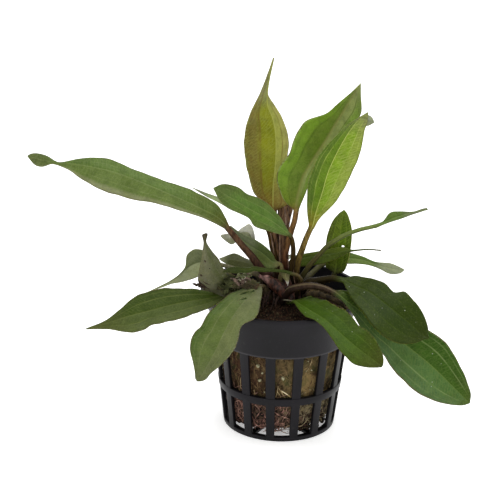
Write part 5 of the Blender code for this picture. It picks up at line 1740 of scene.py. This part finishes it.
def sheath_finish():
    """Dark ruddy bark, with a painted pink highlight where the largest sheath ends at the left."""
    bark = Finish("sheath_skin")
    cloud = bark.noise(1.5, 4, stretch=(1.4, 1.4, 0.5), rough=0.6)
    tint = bark.mix(bark.rise(cloud, 0.38, 0.6), (26, 16, 12), (70, 41, 30))
    # painted highlight: pink at the left end of the largest sheath
    glow = bark.times(bark.rise(bark.axis(0), -4.4, -6.0), bark.rise(cloud, 0.4, 0.6, 0.3, 0.9))
    tint = bark.mix(glow, tint, (152, 116, 108))
    bark.relief(cloud, 0.3)
    return bark.surface(tint, 0.5, Specular_IOR_Level=0.2)


YOUNG_SKIN = plain_finish("young_stalk_skin", (46, 29, 19), (106, 78, 52), 0.9, 0.5, 0.1, (1.5, 1.5, 0.3))
HANGING_BARK = plain_finish("hanging_bark", (18, 12, 10), (58, 41, 33), 0.8, 0.7, 0.2, (1.6, 1.6, 0.4))
# partly painted highlight: the pale colour of the sheath edges
DRY_EDGE_AND_HIGHLIGHT = plain_finish("dry_edge_and_highlight", (84, 64, 50), (126, 102, 84), 1.5, 0.5, 0.05)
blunt_stalks = [(route, blunt(radii)) for route, radii in YOUNG_STALKS]
for name, strands, rings, sides, slot, finish, creases in (
    ("stalk_sheaths", SHEATHS, 40, 24, "crown_skin", sheath_finish(), ("sheath_lumps", 1.5, 0.9)),
    ("young_stalks", blunt_stalks, 70, 16, "dead_skin", YOUNG_SKIN, None),
    ("bark_strips", BARK, 30, 10, "dead_skin", HANGING_BARK, ("bark_creases", 1.2, 0.5)),
    ("sheath_edges", EDGES, 24, 8, "dead_skin", DRY_EDGE_AND_HIGHLIGHT, None),
):
    strand_piece(name, with_rings(strands, rings), sides, slot, finish, creases=creases)

# small leaf scraps: a bud scale, the lobe beside a tip, and what is left of a rotted leaf
SCRAPS = {
    # bud scale with a white tip, pointing down over the crown
    "bud_scale": Leaf(
        base=(7, -84, 59.8), blade=0.02, fold=14, stalk=(0.3, 0.3), face=[(-95, 15), (-95, 15)],
        route=[(1, -7.4, 58.4), (1.5, -7.8, 56.8), (1.8, -8, 54.9)],
        left=(1.3, 1.5, 1, 0.5, 0), right=(1.6, 1.4, 0.8, 0.4, 0),
    ),
    # lobe that stands out beside the tip of the bright leaf
    "tip_lobe": Leaf(
        base=(26.1, -13.7, 116.3), blade=0.02, fold=6, stalk=(0.3, 0.3), face=[(-95, 15), (-95, 15)],
        route=[(26.7, -5.9, 115.9), (28.2, -5.6, 115.5), (29.9, -5.4, 114.9)],
        left=(1.2, 1.7, 1.8, 1.2, 0), right=(1.2, 1.9, 2.0, 1.4, 0),
    ),
    # rotted remains at the left: a purple-brown fold with a bleached flap above it, and a shred at its end
    "rotted_fold": Leaf(
        base=(16, -123, 56.4), blade=0.04, fold=18, stalk=(0.5, 0.4),
        face=[(-100, 25), (-85, 15), (-105, 30)],
        route=[(-10.8, -14.4, 57.8), (-13.4, -15.4, 58.6), (-15.8, -16.4, 58.4), (-18, -17.2, 57.2)],
        left=(1.2, 1.8, 2, 1.7, 1.2, 0), right=(1, 1.8, 2, 1.6, 1, 0),
    ),
    "bleached_flap": Leaf(
        base=(17.4, -129, 60.6), blade=0.04, fold=20, stalk=(0.4, 0.3),
        face=[(-100, 35), (-80, 10), (-110, 40)],
        route=[(-12.2, -14.6, 61), (-13.8, -15.6, 61.4), (-15.4, -16.4, 61.5), (-16.8, -17, 61.2)],
        left=(0.5, 0.8, 0.7, 0.8, 0.5, 0), right=(0.5, 0.9, 0.7, 0.9, 0.6, 0),
    ),
    "dark_shred": Leaf(
        base=(31.2, -150, 57.2), blade=0.04, fold=16, stalk=(0.4, 0.3), face=[(-100, 45), (-90, 25)],
        route=[(-28.6, -15.8, 57.5), (-30.2, -15.8, 57.8), (-32, -15.8, 58.2)],
        left=(0.5, 0.8, 0.6, 0.3, 0), right=(0.4, 0.6, 0.7, 0.3, 0),
    ),
}


def scrap_look(left, right, rib, under, **more):
    """The look of a scrap: no veins or rungs, and no stalk."""
    return look(left, right, rib, under, **{"veins": 0, "rungs": 0, "wave": 0.3, "neck": 0.3, **more})


SCRAP_LOOKS = {
    "bud_scale": scrap_look(
        (112, 106, 74), (104, 100, 66), (124, 120, 84), (90, 86, 60),
        base=(74, 72, 42), tip=(214, 210, 200), bands=(0.5, 0.66), wave=0, rim=(128, 124, 100), neck=0.2,
    ),
    "tip_lobe": scrap_look(
        (140, 146, 118), (130, 136, 104), (112, 118, 88), (106, 112, 84),
        base=(124, 128, 92), tip=(130, 134, 108), wave=0.1, rim=(72, 70, 48), neck=0.2,
    ),
    "rotted_fold": scrap_look(
        (54, 46, 34), (74, 68, 50), (86, 76, 56), (72, 58, 50),
        base=(68, 48, 38), tip=(58, 56, 38), gloss=0.5, rim=(112, 92, 74),
    ),
    "bleached_flap": scrap_look(
        (90, 94, 64), (74, 76, 52), (110, 116, 82), (104, 102, 84),
        base=(62, 62, 44), tip=(122, 126, 90), gloss=0.5, rim=(146, 144, 120),
    ),
    "dark_shred": scrap_look(
        (44, 34, 28), (52, 40, 32), (70, 56, 46), (48, 38, 30),
        base=(40, 30, 24), tip=(34, 26, 20), rim=(64, 52, 42),
    ),
}
SCRAP_SLOTS = {"bud_scale": "leaf_olive", "tip_lobe": "leaf_pale"}
for number, (name, scrap) in enumerate(SCRAPS.items()):
    piece = roll_leaf(name, scrap, SCRAP_LOOKS[name], number + 40, across=14, rings=50)
    if name not in SCRAP_SLOTS:
        roughen(piece, name + "_creases", 1.2, 1.8)
    finish_piece(piece, SCRAP_SLOTS.get(name, "leaf_wilted"), leaf_finish(name, SCRAP_LOOKS[name]))


# crumpled flakes of rotted leaf, beside the wilted one and above the rotted fold; the white ones above the
# fold are painted glints


def flake(name):
    """A small curled patch of dead leaf."""
    deselect()
    bpy.ops.mesh.primitive_grid_add(x_subdivisions=6, y_subdivisions=4, size=2 * MM)
    patch = start(name)
    edit("VERT")
    select_all()
    bpy.ops.transform.resize(value=(1, 0.6, 1), center_override=(0, 0, 0))
    leave_edit()
    apply(patch, "curl", "SIMPLE_DEFORM", deform_method="BEND", deform_axis="Y", angle=math.radians(110))
    roughen(patch, name + "_creases", 0.7, 0.6)
    apply(patch, "thickness", "SOLIDIFY", thickness=0.14 * MM, offset=0)
    settle(patch)
    return patch


def somewhere_on(route, first, last):
    return along(route, np.array([dice.uniform(first, last)]))[0]


def by_wilted():
    """A place close round the lower half of the wilted leaf."""
    centre = somewhere_on(leaf_route(LEAVES["leaf_18"]), 0.24, 0.5)
    return centre + (dice.uniform(-2.4, 2.4), dice.uniform(-3.2, -0.8), dice.uniform(-2.6, 2.2))


def by_fold():
    """A place close above the rotted fold."""
    centre = somewhere_on(SCRAPS["bleached_flap"].route, 0, 1)
    return centre + (dice.uniform(-1.2, 1.2), dice.uniform(-1.8, 0.2), dice.uniform(-2.2, 0.7))


for name, count, place, sizes, dark, pale in (
    ("olive_flakes", 40, by_wilted, (0.8, 1.9), (45, 49, 26), (80, 84, 50)),
    ("purple_flakes", 16, by_fold, (0.6, 1.3), (62, 47, 42), (112, 94, 82)),
    ("dark_flakes", 20, by_wilted, (0.5, 1.2), (30, 27, 13), (58, 54, 26)),
    ("grey_flakes", 18, by_wilted, (0.4, 1.0), (68, 68, 40), (110, 110, 68)),
    # painted highlight: these pale flakes stand for white glints above the fold
    ("white_flakes", 11, by_fold, (0.25, 0.5), (120, 118, 96), (182, 180, 156)),
):
    finish = plain_finish(name + "_skin", dark, pale, 0.9, 0.6)
    scatter_shape(flake(name), count, place, sizes, "leaf_wilted", finish)


def on_blade(name, spots, lift):
    """Places on a leaf where these spots of the photograph show it, lifted towards the camera."""
    ahead = np.array((0, math.cos(LOOK_DOWN), -math.sin(LOOK_DOWN)))
    above = np.array((0, math.sin(LOOK_DOWN), math.cos(LOOK_DOWN)))
    eye = np.array([AIM[0], 0, AIM[1]]) - DISTANCE * ahead
    found = []
    for x, y in spots:
        x, y = x - PHOTO_MIDDLE, y - PHOTO_MIDDLE
        across = x * math.cos(ROLL) + y * math.sin(ROLL)
        down = y * math.cos(ROLL) - x * math.sin(ROLL)
        ray = DISTANCE * ahead + PIXEL * (across * np.array([1, 0, 0]) - down * above)
        ray /= np.linalg.norm(ray)
        met, place, *_ = BLADES[name].ray_cast(Vector(eye * MM), Vector(ray))
        if met:
            found.append(np.array(place) / MM - lift * ray)
    return found


# marks on leaves: their spots in the photograph, their radii, and how far they stand out of the skin
# dark spots and a browned margin on the wilted leaf
DARK_SPOTS = [
    ([(204.4, 260.2), (205.6, 262)], (0.2, 0.25), -0.05),
    ([(198.4, 273.6), (200.2, 274.6), (202, 276)], (0.2, 0.36, 0.2), -0.05),
    ([(209, 268), (210, 269)], (0.14, 0.14), -0.05),
    ([(198.4, 280.4), (200.4, 283.8), (204.4, 286.4), (209.6, 289)], (0.2, 0.42, 0.4, 0.2), 0),
    ([(203, 281), (206, 283.4), (211, 285)], (0.1, 0.24, 0.1), -0.05),
]
# curled shreds of skin on the pale leaf, with the green showing beneath
SHREDS = [
    ([(238, 294.4), (243, 292), (249, 290.2), (254, 289.4)], (0.08, 0.17, 0.16, 0.2), 0.05),
    ([(237, 301.8), (240, 298.8), (245, 297.2)], (0.08, 0.17, 0.1), 0.05),
    ([(239, 303.6), (241.6, 303)], (0.22, 0.14), 0.05),
]
GREEN_WOUNDS = [
    ([(240, 295), (244, 293.6), (249, 291.8)], (0.2, 0.42, 0.2), -0.22),
    ([(241, 300.2), (246, 298.4)], (0.25, 0.4), -0.2),
    ([(250.5, 292.6), (254, 291)], (0.2, 0.4), -0.2),
    ([(225, 296.4), (228.5, 296)], (0.3, 0.3), -0.16),
]
# a pale strand at the foot of the front leaf's blade, painting a thin highlight along its edge, in
# millimetres
BASE_HIGHLIGHT = [([(0.2, -10, 50.4), (1.8, -11, 50.7), (3.4, -12, 50.9)], (0.12, 0.26, 0.16))]


def laid_on(leaf, marks):
    """The marks as strands on this leaf, without those that miss it."""
    strands = [(on_blade(leaf, spots, lift), radii) for spots, radii, lift in marks]
    return [(places, radii) for places, radii in strands if len(places) > 1]


for name, strands, sides, slot, finish in (
    ("brown_spots", laid_on("leaf_18", DARK_SPOTS), 8, "leaf_wilted",
     plain_finish("browned_skin", (34, 27, 21), (68, 53, 41), 0.7, 0.6)),
    ("skin_shreds", laid_on("leaf_07", SHREDS), 8, "leaf_pale",
     plain_finish("dry_shred", (82, 86, 48), (118, 122, 82), 1.0, 0.5)),
    ("leaf_wounds", laid_on("leaf_07", GREEN_WOUNDS), 10, "leaf_green",
     plain_finish("leaf_wound", (27, 38, 8), (50, 64, 17), 0.8, 0.5)),
    ("torn_edge", BASE_HIGHLIGHT, 8, "leaf_pale",
     plain_finish("pale_bit", (92, 88, 70), (128, 124, 104), 0.6, 0.6)),
):
    strand_piece(name, with_rings(strands, 20), sides, slot, finish)


# floor, light and camera, in metres

FLOOR_SIZE = 2.4
FLOOR_DROP = 0.0001
FLOOR_GLOW = 0.35
ROOM_GLOW = 0.95
CAMERA_AT = (-0.0118, -0.6539, 0.3148)
CAMERA_TILT = 69.1
CAMERA_ROLL = 1.25
CAMERA_LENS = 142.4
LIT_AT = (0, 0, 0.05)
# lamps by name: width and height, power, and place
LAMPS = {
    "top_light": ((0.9, 0.9), 9, (0.12, 0.1, 1.2)),
    "front_light": ((0.8, 0.5), 2, (-0.3, -1.1, 0.7)),
}


def build_floor():
    deselect()
    bpy.ops.mesh.primitive_grid_add(
        x_subdivisions=8, y_subdivisions=8, size=FLOOR_SIZE, location=(0, 0, -FLOOR_DROP)
    )
    floor = start("studio_floor")
    pale = Finish("pale_floor")
    colour = pale.mix(pale.noise(60, 2), (250, 250, 250), (253, 253, 253))
    finish = pale.surface(
        colour, 0.9, Specular_IOR_Level=0.1, Emission_Color=(1, 1, 1, 1), Emission_Strength=FLOOR_GLOW
    )
    floor.data.materials.append(finish)


def hang_lamp(name, size, power, place):
    data = bpy.data.lights.new(name, "AREA")
    data.shape = "RECTANGLE"
    data.size, data.size_y = size
    data.energy = power
    lamp = bpy.data.objects.new(name, data)
    bpy.context.collection.objects.link(lamp)
    lamp.location = place
    lamp.rotation_euler = (Vector(LIT_AT) - Vector(place)).to_track_quat("-Z", "Y").to_euler()


def build_camera():
    data = bpy.data.cameras.new("studio_camera")
    data.lens = CAMERA_LENS
    data.sensor_width = 36
    data.clip_start = 0.01
    camera = bpy.data.objects.new("studio_camera", data)
    bpy.context.collection.objects.link(camera)
    tilt = Matrix.Rotation(math.radians(CAMERA_TILT), 4, "X")
    roll = Matrix.Rotation(math.radians(CAMERA_ROLL), 4, "Z")
    camera.matrix_world = Matrix.Translation(CAMERA_AT) @ tilt @ roll
    bpy.context.scene.camera = camera


def build_room():
    world = bpy.data.worlds.new("white_room")
    world.use_nodes = True
    background = world.node_tree.nodes["Background"]
    background.inputs["Color"].default_value = (1, 1, 1, 1)
    background.inputs["Strength"].default_value = ROOM_GLOW
    bpy.context.scene.world = world
    bpy.context.scene.view_settings.view_transform = "Standard"


build_floor()
for name, settings in LAMPS.items():
    hang_lamp(name, *settings)
build_room()
build_camera()
